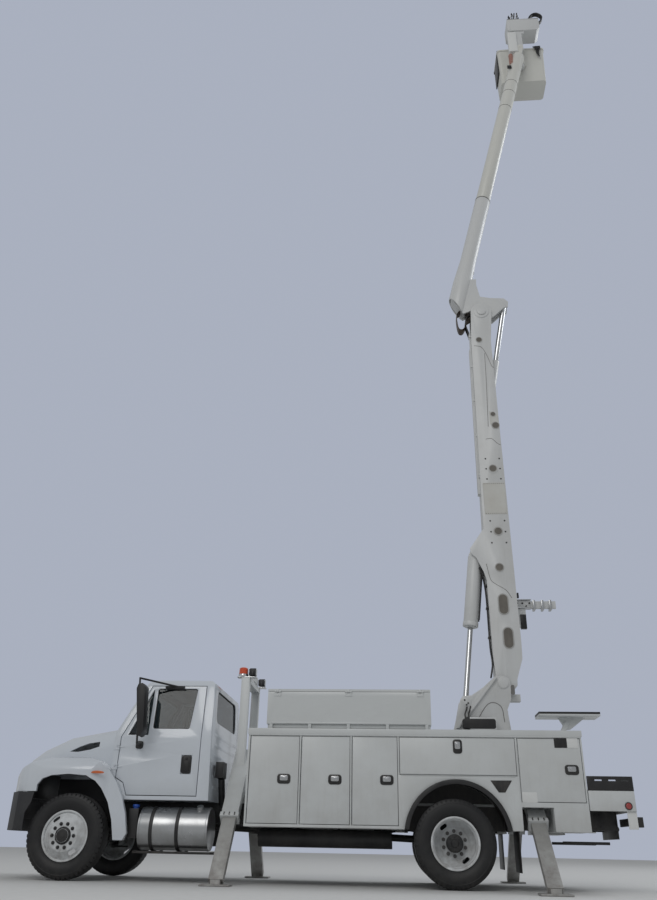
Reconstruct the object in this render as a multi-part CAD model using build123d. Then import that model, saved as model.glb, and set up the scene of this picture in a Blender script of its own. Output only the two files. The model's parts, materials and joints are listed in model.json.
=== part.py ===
from build123d import *
import math
import os

# A two-axle utility truck with an articulated bucket boom, parked on its outriggers.
# Millimetres. X points forward, Y to the left, Z up. While the pieces are made, X is
# measured from the front axle; the last lines move them so that the origin lies under
# the middle of the whole machine.

front_axle_x = 3500.0

# Clearances
door_gap = 10.0
panel_gap = 7.0
swing_gap = 5.0
pin_gap = 0.5
seat_gap = 0.3
slide_gap = 0.5

# Wheels
wheelbase = 5000.0
tyre_radius = 510.0
tyre_width = 280.0
rim_radius = 303.0
rim_width = 230.0
bead_radius = 288.0
disc_offset = 170.0
disc_thickness = 12.0
front_wheel_y = 1020.0
dual_middle_y = 914.0
dual_overlap = 1.0
hub_radius = 105.0
spindle_radius = 38.0
rear_spindle_radius = 50.0
axle_z = tyre_radius

# Frame
rail_outer_y = 430.0
rail_flange = 75.0
rail_wall = 8.0
rail_bottom = 700.0
rail_top = 955.0
rail_front_x = 700.0
rail_rear_x = -7150.0
tow_eye_reach = 95.0
tow_eye_z = 730.0
tow_eye_radius = 18.0
cross_member_xs = (620.0, -1300.0, -2300.0, -3500.0, -4450.0, -5600.0, -6400.0, -7100.0)

# Front axle and its kingpins
kingpin_y = 820.0
kingpin_radius = 25.0
spring_y = 415.0
spring_width = 80.0

# Cab
cab_front_x = -450.0
cab_rear_x = -1810.0
cab_half_width = 1000.0
cab_floor_z = rail_top
cab_roof_z = 2520.0
cab_wall = 55.0
belt_z = 1720.0
roof_half_width = 840.0
glass_inset = 20.0
glass_thickness = 8.0
door_front_x = -530.0
door_rear_x = -1640.0
door_bottom_z = 1012.0
door_top_z = 2430.0
door_corner = ((-530.0, 1225.0), (-640.0, 1165.0), (-700.0, 1012.0))
cowl_z = 1790.0
door_hinge_zs = (1360.0, 1610.0)
door_hinge_length = 80.0
knuckle_radius = 12.0
hinge_bolt_radius = 6.0

# Hood
hood_rear_x = cab_front_x + 12.0
hood_nose_x = 940.0
hood_bottom_z = 1030.0
hood_wall = 40.0
fender_y = cab_half_width + 210.0
fender_core_y = 700.0
fender_inner_y = 560.0
skirt_inner_y = cab_half_width + 36.0
skirt_bottom_z = 470.0
hood_pivot_x = 930.0
hood_pivot_z = 1030.0
hood_pin_radius = 10.0
hood_lug_radius = 16.0
hood_lug_y = 472.0
lug_width = 20.0
lug_gap = 2.0
lug_notch_height = 45.0
skirt_outer_y = cab_half_width + 100.0
grille_half_width = 430.0
grille_bottom_z = 1085.0
grille_pitch = 44.0
grille_slot = 26.0
bumper_front_x = 1000.0
bumper_bottom_z = 565.0
bumper_top_z = 1022.0
bumper_wall = 12.0

# Utility body
pack_front_x = -2340.0
pack_rear_x = -6660.0
pack_inner_y = 560.0
pack_outer_y = 1220.0
pack_bottom_z = 658.0
pack_top_z = 1770.0
rail_cap = 70.0
pack_wall = 25.0
pack_door_thickness = 40.0
door_edge_radius = 12.0
door_pin_radius = 5.0
door_pin_depth = 8.0
wheel_arch_radius = 670.0
wheel_arch_x = -wheelbase - 40.0
wheel_arch_z = 570.0
arch_rim_radius = 614.0
arch_strips = (-450.0, -250.0, 0.0, 250.0, 450.0)
deck_thickness = 30.0
tail_rear_x = -7230.0
tail_floor_z = 1140.0
tail_board_height = 160.0
tail_edge = 8.0
rest_xs = (-7330.0, -6430.0)
rest_ys = (-800.0, -400.0)
rest_top_z = 2320.0

# Toolbox on the left pack
toolbox_front_x = -2566.0
toolbox_rear_x = -4756.0
toolbox_inner_y = 640.0
toolbox_outer_y = 1200.0
toolbox_bottom_z = 1900.0
toolbox_top_z = 2350.0
toolbox_wall = 20.0
lid_thickness = 30.0
lid_hinge_xs = (-2700.0, -3660.0, -4620.0)
lid_hinge_length = 90.0

# Outriggers: each leg slides along its own slope, from the collar to the foot
leg_width = 180.0
leg_depth = 90.0
housing_width = 220.0
housing_depth = 130.0
collar_length = 60.0
foot_length = 360.0
foot_width = 260.0
foot_thickness = 20.0
front_leg_x = -2110.0
front_foot_y = 1545.0
front_collar_y = 975.0
front_collar_z = 735.0
front_top_y = 240.0
rear_leg_x = -6040.0
rear_foot_y = 1890.0
rear_collar_y = 1100.0
rear_collar_z = 720.0
rear_top_y = 302.0
leg_foot_z = 45.0
leg_reach_front = 520.0
leg_reach_rear = 370.0
post_top_z = 2640.0
boom_rest_z = 2740.0

# Turret and booms, all in the plane Y = 0
slew_x = -5530.0
pedestal_top_z = 1890.0
turret_radius = 400.0
turret_bottom_z = pedestal_top_z + swing_gap
turret_plate_y = 165.0
turret_plate = 25.0
hinge_x = -5860.0
hinge_z = 2630.0
hinge_pin_radius = 40.0
boom_half_width = 150.0
boom_wall = 14.0
lift_pin_x = -5311.0
lift_pin_z = 2360.0
lug_x = -5600.0
lug_z = 4680.0
lug_pin_radius = 30.0
lift_barrel_radius = 110.0
lift_barrel_length = 1190.0
lift_rod_radius = 40.0
elbow_x = -5990.0
elbow_z = 9330.0
elbow_pin_radius = 45.0
elbow_cheek = 25.0
elbow_radius = 190.0
crank_x = -6440.0
crank_z = 9590.0
fold_top_x = -6195.0
fold_top_z = 8320.0
fold_barrel_radius = 65.0
fold_rod_radius = 45.0
fold_slot_y = 58.0
fold_swing_radius = 592.0
tube_lean = 0.2501
tube_zero_x = -3178.0
tube_radius = 142.0
sleeve_radius = 150.0
root_radius = 180.0
sleeve_top_z = 12160.0
root_top_z = 10100.0
head_z = 16700.0
head_reach = 250.0
head_pin_radius = 25.0

# Bucket
bucket_front_x = -6910.0
bucket_rear_x = -8000.0
bucket_inner_y = -300.0
bucket_outer_y = -910.0
bucket_bottom_z = head_z - 600.0
bucket_top_z = head_z + 470.0
bucket_wall = 12.0
bucket_taper = 28.0
lever_rise = 370.0
shaft_x = -7420.0
shaft_y = -225.0
shaft_radius = 55.0
console_bottom_z = head_z + 560.0
console_top_z = console_bottom_z + 390.0


def block(x, y, z):
    """A box from its low and high values along each axis."""
    size = Box(x[1] - x[0], y[1] - y[0], z[1] - z[0])
    return Pos((x[0] + x[1]) / 2, (y[0] + y[1]) / 2, (z[0] + z[1]) / 2) * size


def outline_face(points, grow=0.0, radius=0.0):
    """A closed outline as a face, grown or shrunk, with rounded corners."""
    face = make_face(Polyline(*points, close=True))
    if grow:
        face = offset(face, grow, kind=Kind.INTERSECTION)
    if radius:
        face = fillet(face.vertices(), radius)
    return face


def side_form(points, y, grow=0.0, radius=0.0):
    """An outline of (x, z) points made solid between two y values."""
    plane = Plane(origin=(0, y[1], 0), x_dir=(1, 0, 0), z_dir=(0, -1, 0))
    return extrude(plane * outline_face(points, grow, radius), y[1] - y[0])


def front_form(points, x, grow=0.0, radius=0.0):
    """An outline of (y, z) points made solid between two x values."""
    plane = Plane(origin=(x[0], 0, 0), x_dir=(0, 1, 0), z_dir=(1, 0, 0))
    return extrude(plane * outline_face(points, grow, radius), x[1] - x[0])


def plan_form(points, z, grow=0.0, radius=0.0):
    """An outline of (x, y) points made solid between two z values."""
    plane = Plane(origin=(0, 0, z[0]))
    return extrude(plane * outline_face(points, grow, radius), z[1] - z[0])


def bar(start, end, radius):
    """A round bar from one point to another."""
    along = Vector(*end) - Vector(*start)
    return extrude(Plane(origin=start, z_dir=along) * Circle(radius), along.length)


def square_bar(start, end, width, depth):
    """A rectangular bar whose width lies along X."""
    along = Vector(*end) - Vector(*start)
    plane = Plane(origin=start, x_dir=(1, 0, 0), z_dir=along)
    return extrude(plane * Rectangle(width, depth), along.length)


def cross_pin(x, z, half_length, radius):
    """A round bar along Y, centred on the machine's middle plane."""
    return bar((x, -half_length, z), (x, half_length, z), radius)


def hinge_halves(start, end, fixed_leaf, moving_leaf):
    """A knuckle hinge on the line from start to end: its fixed half and its moving half."""
    low = Vector(*start)
    along = Vector(*end) - low
    unit = along.normalized()

    def piece(first, last, radius):
        a = low + along * first
        b = low + along * last
        return bar((a.X, a.Y, a.Z), (b.X, b.Y, b.Z), radius)

    free = unit * swing_gap
    third_a = low + along * 0.33 + free
    third_b = low + along * 0.67 - free
    middle = bar((third_a.X, third_a.Y, third_a.Z), (third_b.X, third_b.Y, third_b.Z), knuckle_radius)
    room = piece(0.33, 0.67, knuckle_radius + 4 * swing_gap)
    fixed = piece(0, 0.33, knuckle_radius) + piece(0.67, 1, knuckle_radius) + (fixed_leaf - room)
    fixed = fixed + piece(0.1, 0.9, hinge_bolt_radius)
    ends = piece(-1, 0.33, 200) + piece(0.67, 2, 200)
    hole = piece(-0.1, 1.1, hinge_bolt_radius + pin_gap)
    keep = bar((third_a.X, third_a.Y, third_a.Z), (third_b.X, third_b.Y, third_b.Z), 200)
    moving = (middle + (moving_leaf & keep)) - hole
    return fixed, moving


def other_side(shape):
    """The same piece on the right side."""
    return mirror(shape, Plane.XZ)


def both_sides(shape):
    """The piece and its mirror image."""
    return [shape, other_side(shape)]


def mirrored_outline(half):
    """A closed (y, z) outline from its left half, listed from bottom to top."""
    return half + [(-y, z) for y, z in reversed(half)]


def spun(profile, x, y):
    """A closed (y, radius) profile turned about the wheel axis at x, from y."""
    face = Plane.YZ * make_face(Polyline(*profile, close=True))
    return Pos(x, y, axle_z) * revolve(face, Axis.Y)


# Wheels

def tyre(x, y):
    half = tyre_width / 2
    inner = rim_width / 2 - 11.0 - seat_gap
    profile = [
        (-inner, bead_radius + seat_gap),
        (inner, bead_radius + seat_gap),
        (inner, rim_radius + seat_gap),
        (half - 14, rim_radius + seat_gap + 6),
        (half, 0.5 * (rim_radius + tyre_radius)),
        (half - 4, tyre_radius - 55),
        (half - 26, tyre_radius - 14),
        (half - 60, tyre_radius),
        (60 - half, tyre_radius),
        (26 - half, tyre_radius - 14),
        (4 - half, tyre_radius - 55),
        (-half, 0.5 * (rim_radius + tyre_radius)),
        (14 - half, rim_radius + seat_gap + 6),
        (-inner, rim_radius + seat_gap),
    ]
    return spun(profile, x, y)


def rim(x, y, facing):
    """A steel rim with its disc pressed out towards facing (+1 left, -1 right)."""
    edge = rim_width / 2
    barrel = [
        (-edge, rim_radius),
        (8 - edge, rim_radius),
        (11 - edge, bead_radius),
        (-60, bead_radius - 4),
        (-40, bead_radius - 20),
        (40, bead_radius - 20),
        (60, bead_radius - 4),
        (edge - 11, bead_radius),
        (edge - 8, rim_radius),
        (edge, rim_radius),
        (edge, rim_radius - 13),
        (edge - 7, bead_radius - 10),
        (62, bead_radius - 14),
        (44, bead_radius - 30),
        (-44, bead_radius - 30),
        (-62, bead_radius - 14),
        (7 - edge, bead_radius - 10),
        (-edge, rim_radius - 13),
    ]
    reach = disc_offset - disc_thickness
    disc = [
        (72 * facing, bead_radius - 11),
        (reach * facing, 180),
        (reach * facing, hub_radius - 45),
        (disc_offset * facing, hub_radius - 45),
        (disc_offset * facing, 186),
        (88 * facing, bead_radius - 11),
    ]
    wheel = spun(barrel, x, y) + spun(disc, x, y)
    hand_hole = extrude(Plane.XZ * SlotOverall(100, 46), 400, both=True)
    for turn in (35, 215):
        place = Pos(x, y, axle_z) * Rot(0, turn, 0) * Pos(0, 0, 228)
        wheel -= place * hand_hole
    return wheel


def front_wheel():
    """Rim, hub and grease cap of the left front wheel."""
    inner_y = kingpin_y + 115
    face_y = front_wheel_y + disc_offset
    hub = bar((0, inner_y, axle_z), (0, face_y - disc_thickness, axle_z), hub_radius)
    cap = bar((0, face_y - disc_thickness - 1, axle_z), (0, face_y + 28, axle_z), hub_radius - 25)
    bore = bar((0, inner_y - 1, axle_z), (0, face_y - 45, axle_z), spindle_radius + pin_gap)
    return rim(0, front_wheel_y, 1) + hub + cap - bore


def rear_wheels():
    """The two rims of the left rear pair, with brake drum and hub."""
    middle = dual_middle_y
    x = -wheelbase
    step = disc_offset - dual_overlap
    pair = rim(x, middle + step, -1) + rim(x, middle - step, 1)
    drum = bar((x, 655, axle_z), (x, middle - 30, axle_z), 198) - bar((x, 654, axle_z), (x, 850, axle_z), 182)
    hub = bar((x, 655, axle_z), (x, middle + 120, axle_z), hub_radius)
    bore = bar((x, 600, axle_z), (x, middle - 5, axle_z), rear_spindle_radius + pin_gap)
    return pair + drum + hub - bore


def rear_tyres():
    step = disc_offset - dual_overlap
    return [tyre(-wheelbase, dual_middle_y - step), tyre(-wheelbase, dual_middle_y + step)]


# Axles and frame

def knuckle():
    """The left steering knuckle: yoke, kingpin, spindle and steering arm."""
    pin = bar((0, kingpin_y, 375), (0, kingpin_y, 645), kingpin_radius)
    yoke = block((-55, 55), (kingpin_y + 60, kingpin_y + 100), (380, 640))
    for low in (380, 595):
        yoke += block((-50, 50), (kingpin_y, kingpin_y + 80), (low, low + 45))
        yoke += bar((0, kingpin_y, low), (0, kingpin_y, low + 45), 50)
    reach = front_wheel_y + disc_offset - 50
    spindle = bar((0, kingpin_y + 90, axle_z), (0, reach, axle_z), spindle_radius)
    arm = block((-240, -20), (kingpin_y - 30, kingpin_y + 10), (383, 408))
    return yoke + pin + spindle + arm


def leaf_spring(x, half_length, seat_z, end_z, rise):
    """A leaf pack along X under one rail, with its hangers up to the rail."""
    outline = [
        (x - half_length, end_z),
        (x - half_length * 0.5, end_z - rise * 0.55),
        (x - 120, seat_z),
        (x + 120, seat_z),
        (x + half_length * 0.5, end_z - rise * 0.55),
        (x + half_length, end_z),
        (x + half_length, end_z + 16),
        (x + half_length * 0.5, end_z - rise * 0.55 + 30),
        (x, seat_z + 62),
        (x - half_length * 0.5, end_z - rise * 0.55 + 30),
        (x - half_length, end_z + 16),
    ]
    y = (spring_y - spring_width / 2, spring_y + spring_width / 2)
    spring = side_form(outline, y)
    for end in (x - half_length + 20, x + half_length - 20):
        spring += block((end - 20, end + 20), (y[0] + 12, y[1] - 30), (end_z, rail_bottom))
    return spring


def front_axle():
    lower = [(400, 380), (520, 455), (kingpin_y - 30, 455)]
    upper = [(kingpin_y - 30, 555), (540, 555), (420, 480)]
    outline = lower + upper + [(-y, z) for y, z in reversed(upper)] + [(-y, z) for y, z in reversed(lower)]
    beam = front_form(outline, (-45, 45))
    boss = bar((0, kingpin_y, 430), (0, kingpin_y, 590), 50)
    bore = bar((0, kingpin_y, 400), (0, kingpin_y, 620), kingpin_radius + pin_gap)
    seat = block((-90, 90), (spring_y - 40, spring_y + 40), (470, 520))
    spring = leaf_spring(0, 630, 518, 655, 130)
    for piece in both_sides(boss) + both_sides(seat) + both_sides(spring):
        beam += piece
    for piece in both_sides(bore):
        beam -= piece
    return beam


def rear_axle():
    x = -wheelbase
    tube = bar((x, -645, axle_z), (x, 645, axle_z), 70)
    spindle = bar((x, -900, axle_z), (x, 900, axle_z), rear_spindle_radius)
    housing = bar((x, -100, axle_z), (x, 100, axle_z), 200)
    nose = bar((x, 0, axle_z + 30), (x + 330, 0, axle_z + 45), 85)
    shaft = bar((x + 325, 0, axle_z + 45), (-1200, 0, 690), 45)
    axle = tube + spindle + housing + nose + shaft
    for piece in both_sides(leaf_spring(x, 680, axle_z + 62, 680, 80)):
        axle += piece
    return axle


def frame_rails():
    """Two channel rails, the cross members between their webs, and the tow eye's plate."""
    y = rail_outer_y
    inner = y - rail_flange
    web = y - rail_wall
    outline = [
        (y, rail_bottom), (y, rail_top), (inner, rail_top), (inner, rail_top - rail_wall),
        (web, rail_top - rail_wall), (web, rail_bottom + rail_wall),
        (inner, rail_bottom + rail_wall), (inner, rail_bottom),
    ]
    pieces = both_sides(front_form(outline, (rail_rear_x, rail_front_x)))
    end = web - seat_gap
    for x in cross_member_xs:
        pieces.append(block((x - 30, x + 30), (-end, end), (rail_bottom + 60, rail_top - 25)))
    rear = rail_rear_x - seat_gap
    eye_x = rail_rear_x - tow_eye_reach
    plate = block((rear - 20, rear), (-y, y), (600, rail_top))
    lug = block((eye_x, rear - 15), (-15, 15), (tow_eye_z - 40, tow_eye_z + 40))
    eye = bar((eye_x, -15, tow_eye_z), (eye_x, 15, tow_eye_z), 40)
    hole = bar((eye_x, -20, tow_eye_z), (eye_x, 20, tow_eye_z), tow_eye_radius)
    pieces.append(plate + lug + eye - hole)
    return pieces


def engine():
    block_form = block((-400, 520), (-290, 290), (540, 1240))
    gearbox = block((-1150, -390), (-180, 180), (600, 900))
    unit = block_form + gearbox
    web = rail_outer_y - rail_wall
    for piece in both_sides(block((40, 160), (280, web), (790, 870))):
        unit += piece
    for piece in both_sides(block((-1100, -1020), (170, web), (770, 830))):
        unit += piece
    return unit


def front_bumper():
    """The wrapped bumper with its arms to the rails and the hood's pivot lugs."""
    front = bumper_front_x
    half = [(440, 1205), (700, 1160), (850, 985), (front - 70, 800), (front - 15, 560), (front, 200)]
    outline = half + [(x, -y) for x, y in reversed(half)]
    height = (bumper_bottom_z, bumper_top_z)
    bumper = plan_form(outline, height)
    bumper -= plan_form(outline, height, -bumper_wall)
    bumper -= block((300, 450), (-1300, 1300), height)
    wheel_side = [(300, 1100), (473, bumper_top_z + 5), (496, 897), (565, 773), (560, 500), (300, 500)]
    bumper -= side_form(wheel_side, (-1300, 1300))
    arm = block((rail_front_x, front - bumper_wall), (385, rail_outer_y), (rail_bottom + 20, rail_top - 20))
    near = hood_lug_y - lug_gap - lug_width
    far = hood_lug_y - lug_gap
    lug = block((hood_pivot_x, front - bumper_wall), (near, far), (bumper_top_z - 70, hood_pivot_z))
    lug += bar((hood_pivot_x, near, hood_pivot_z), (hood_pivot_x, far, hood_pivot_z), 14)
    pin_end = hood_lug_y + lug_width + 3
    pin = bar((hood_pivot_x, near + 1, hood_pivot_z), (hood_pivot_x, pin_end, hood_pivot_z), hood_pin_radius)
    for piece in both_sides(arm + lug + pin):
        bumper += piece
    return bumper


# Cab

cab_side = [
    (cab_front_x, cab_floor_z), (cab_front_x, cowl_z), (-800, 2480), (-860, cab_roof_z),
    (-1700, cab_roof_z), (-1755, 2480), (cab_rear_x, cab_floor_z),
]
cab_face = mirrored_outline([
    (-cab_half_width, cab_floor_z), (-cab_half_width, belt_z), (-905, door_top_z), (-roof_half_width, cab_roof_z),
])
door_outline = [
    (door_rear_x, door_bottom_z), (door_rear_x, door_top_z), (-872, door_top_z), (-540, 1740), *door_corner,
]
main_window = [(-955, 1850), (-1468, 1850), (-1525, 2395), (-955, 2395)]
vent_window = [(-625, 1765), (-905, 1765), (-905, 2375), (-893, 2375)]
windscreen = mirrored_outline([(-850, 1850), (-790, 2400)])
rear_window = mirrored_outline([(-700, 1975), (-660, 2410)])


def cab_form(inset):
    """The cab's closed outer form, or one that lies deeper by the inset."""
    side = side_form(cab_side, (-cab_half_width, cab_half_width), -inset)
    return side & front_form(cab_face, (cab_rear_x - 10, cab_front_x + 10), -inset)


def window_holes():
    """The glazed openings of the left door."""
    span = (cab_half_width - 200, cab_half_width + 10)
    return side_form(main_window, span, 0, 30) + side_form(vent_window, span)


def windscreen_hole():
    return front_form(windscreen, (-880, cab_front_x + 5), 0, 40)


def rear_window_hole():
    return front_form(rear_window, (cab_rear_x - 5, -1640), 0, 90)


def cab_hinges():
    """The two hinges of the left door, as fixed and moving halves."""
    x = door_front_x + door_gap / 2
    y = cab_half_width + knuckle_radius
    halves = []
    for z in door_hinge_zs:
        low = z - door_hinge_length / 2
        high = z + door_hinge_length / 2
        fixed = block((x, cab_front_x - 3), (cab_half_width, cab_half_width + 8), (low, high))
        moving = block((x - 70, x), (cab_half_width, cab_half_width + 8), (low, high))
        halves.append(hinge_halves((x, y, low), (x, y, high), fixed, moving))
    return halves


def cab_shell(outer, inner):
    """The cab's skin with its openings, the ribbed rear wall and the fixed hinge halves."""
    shell = outer - inner
    opening = side_form(door_outline, (cab_half_width - 250, cab_half_width + 10), door_gap)
    for piece in both_sides(opening) + [windscreen_hole(), rear_window_hole()]:
        shell -= piece
    lean = (-1755 - cab_rear_x) / (2480 - cab_floor_z)
    for step in range(6):
        z = 1110 + 135 * step
        shell += block((cab_rear_x - 2 + lean * (z - cab_floor_z), -1755), (-780, 780), (z, z + 40))
    for fixed, moving in cab_hinges():
        for piece in both_sides(fixed):
            shell += piece
    return shell


def cab_door(outer, inner):
    panel = side_form(door_outline, (cab_half_width - 250, cab_half_width + 10))
    door = ((outer - inner) & panel) - window_holes()
    door -= block((-1545, -1400), (cab_half_width - 25, cab_half_width + 10), (1275, 1515))
    for fixed, moving in cab_hinges():
        door += moving
    return door


def glazing(hole):
    """A pane that follows the cab's wall inside one window hole."""
    return (cab_form(glass_inset) - cab_form(glass_inset + glass_thickness)) & hole


def cab_interior():
    floor = cab_floor_z + cab_wall
    dash = side_form([(-510, floor), (-560, floor), (-700, 1350), (-780, 1560), (-740, 1660), (-510, 1680)],
                     (75 - cab_half_width, cab_half_width - 75))
    pieces = [dash]
    for low, high in ((250, cab_half_width - 200), (200 - cab_half_width, -60)):
        seat = side_form([(-1090, floor), (-1050, 1330), (-1000, 1440), (-1480, 1400), (-1560, 2060),
                          (-1640, 2060), (-1640, floor)], (low, high))
        pieces.append(seat)
    column = bar((-740, 450, 1560), (-905, 450, 1650), 22)
    wheel = Pos(-905, 450, 1650) * Rot(0, -61, 0) * Torus(215, 16)
    spoke = Pos(-905, 450, 1650) * Rot(0, -61, 0) * Box(30, 424, 14)
    return pieces + [column + wheel + spoke]


def mirror_arm():
    """The left mirror: head, its loop of tube, and its feet on the door."""
    y = 1240
    head = side_form([(-850, 1740), (-770, 2330), (-790, 2390), (-845, 2400), (-885, 2360), (-928, 1775),
                      (-900, 1725), (-868, 1715)], (1150, 1330))
    tube = bar((-838, y, 1630), (-772, y, 2490), 13)
    top_arm = bar((-778, y, 2480), (-1240, 925, 2420), 13)
    low_arm = bar((-806, 1000, 1640), (-838, y, 1640), 15)
    foot = block((-850, -762), (cab_half_width, skirt_inner_y - swing_gap - 1), (1595, 1675))
    rail = block((-1330, -1060), (880, 945), (2395, 2425))
    return (head + tube + low_arm + top_arm + foot + rail) - cab_form(-seat_gap)


# Hood

# Sections of the bonnet, from the nose back: x, half width, top z, shoulder radius.
hood_sections = (
    (hood_nose_x, 500.0, 1330.0, 120.0),
    (885.0, 555.0, 1490.0, 170.0),
    (700.0, 660.0, 1605.0, 220.0),
    (300.0, 790.0, 1762.0, 250.0),
    (hood_rear_x, 885.0, 1885.0, 270.0),
)
fender_side = [
    (905, hood_bottom_z), (885, 1160), (830, 1245), (700, 1335), (540, 1400), (370, 1450), (150, 1478),
    (-150, 1470), (-330, 1412), (-470, 1300), (-580, 1160), (-673, 994), (-748, 791), (-796, 551),
    (-750, skirt_bottom_z), (-300, skirt_bottom_z), (-300, hood_bottom_z),
]
fender_low = skirt_bottom_z - 10
fender_face = [
    (fender_core_y, fender_low), (fender_y, fender_low), (fender_y, 1300), (1170, 1395), (1090, 1452),
    (960, 1480), (fender_core_y, 1480),
]
fender_plan = [
    (930, fender_inner_y), (905, 760), (850, 930), (740, 1090), (600, 1175), (420, fender_y), (-250, fender_y),
    (-480, skirt_outer_y), (-800, skirt_outer_y), (-800, skirt_inner_y), (hood_rear_x - 4, skirt_inner_y), (hood_rear_x - 4, fender_inner_y),
]
arch_outline = [
    (452, 300), (452, 1110), (390, 1185), (274, 1226), (42, 1245), (-195, 1229), (-320, 1165), (-400, 1080),
    (-502, 909), (-578, 707), (-628, skirt_bottom_z), (-628, 300),
]
scoop_outline = [(240, 1562), (120, 1556), (-60, 1585), (-190, 1625), (-185, 1690), (-30, 1672), (110, 1625)]
lamp_x = (690, 950)
lamp_y = (720, 1010)
lamp_z = (1075, 1225)


def fender():
    span = (fender_inner_y, fender_y + 10)
    form = side_form(fender_side, span) & front_form(fender_face, (-820, 960))
    return form & plan_form(fender_plan, (fender_low - 10, 1500))


def bonnet_form(inset, bottom, extra):
    """A loft through the bonnet's sections, or one that lies deeper by the inset."""
    faces = []
    for x, half, top, radius in hood_sections:
        place = x
        if x == hood_nose_x:
            place = x - inset
        if x == hood_rear_x:
            place = x - extra
        outline = [(-half + inset, bottom), (-half + inset, top - inset), (half - inset, top - inset),
                   (half - inset, bottom)]
        face = make_face(Polyline(*outline, close=True))
        corners = face.vertices().sort_by(Axis.Y)[-2:]
        face = fillet(corners, radius)
        faces.append(Plane(origin=(place, 0, 0), x_dir=(0, 1, 0), z_dir=(1, 0, 0)) * face)
    return loft(faces, ruled=True)


def hood_form():
    """The closed outer form of bonnet and fenders, before it is hollowed."""
    left = fender()
    return bonnet_form(0, hood_bottom_z, 0) + left + other_side(left)


def fender_room():
    """The room inside the left fender skin, open below and towards the engine."""
    side = [(x, z - 200 if z in (hood_bottom_z, skirt_bottom_z) else z) for x, z in fender_side]
    face = [(y - 200 if y == fender_core_y else y, z - 200 if z == fender_low else z) for y, z in fender_face]
    plan = [(x, y - 200 if y in (fender_inner_y, skirt_inner_y) else y) for x, y in fender_plan]
    form = side_form(side, (300, fender_y + 10), -hood_wall) & front_form(face, (-820, 960), -hood_wall)
    return form & plan_form(plan, (200, 1500), -hood_wall)


def hood(form):
    """Bonnet and fenders as one skin with open arches, grille slots and hinge lugs, and the two skirts."""
    shell = form - bonnet_form(hood_wall, hood_bottom_z - 200, 100)
    arch = side_form(arch_outline, (fender_inner_y, fender_y + 20))
    lamp = block(lamp_x, lamp_y, lamp_z)
    scoop = side_form(scoop_outline, (700, 960))
    for piece in both_sides(arch) + both_sides(fender_room()) + both_sides(lamp) + both_sides(scoop):
        shell -= piece
    for step in range(5):
        z = grille_bottom_z + grille_pitch * step
        shell -= block((700, hood_nose_x + 20), (-grille_half_width, grille_half_width), (z, z + grille_slot))
    y = (hood_lug_y, hood_lug_y + lug_width)
    lug = block((hood_nose_x - 60, hood_pivot_x), y, (hood_pivot_z - 2, hood_bottom_z + 50))
    lug += bar((hood_pivot_x, y[0], hood_pivot_z), (hood_pivot_x, y[1], hood_pivot_z), hood_lug_radius)
    bore = bar((hood_pivot_x, y[0] - 9, hood_pivot_z), (hood_pivot_x, y[1] + 9, hood_pivot_z),
               hood_pin_radius + pin_gap)
    notch = block((hood_nose_x - hood_wall - 10, hood_nose_x + 10),
                  (hood_lug_y - lug_gap - lug_width - 4, hood_lug_y), (hood_bottom_z - 10, hood_pivot_z + lug_notch_height))
    skirt_x = hood_rear_x - 4
    seam = block((skirt_x - seat_gap, skirt_x), (skirt_inner_y - 10, fender_y + 10), (skirt_bottom_z - 10, 1500))
    for piece in both_sides(notch) + both_sides(seam):
        shell -= piece
    for piece in both_sides(lug):
        shell += piece
    for piece in both_sides(bore):
        shell -= piece
    return shell


def headlamps(form):
    lamp = form & block(lamp_x, lamp_y, lamp_z)
    return both_sides(lamp)


# Tanks and black fittings

def fuel_tank():
    y, z, radius = 800.0, 620.0, 258.0
    tank = bar((-1840, y, z), (-920, y, z), radius)
    for x in (-1440, -1096):
        strap = bar((x - 22, y, z), (x + 22, y, z), radius + 8)
        arm = block((x - 22, x + 22), (rail_outer_y, 640), (rail_bottom + 20, rail_bottom + 180))
        tank += strap + arm
    return tank


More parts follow.
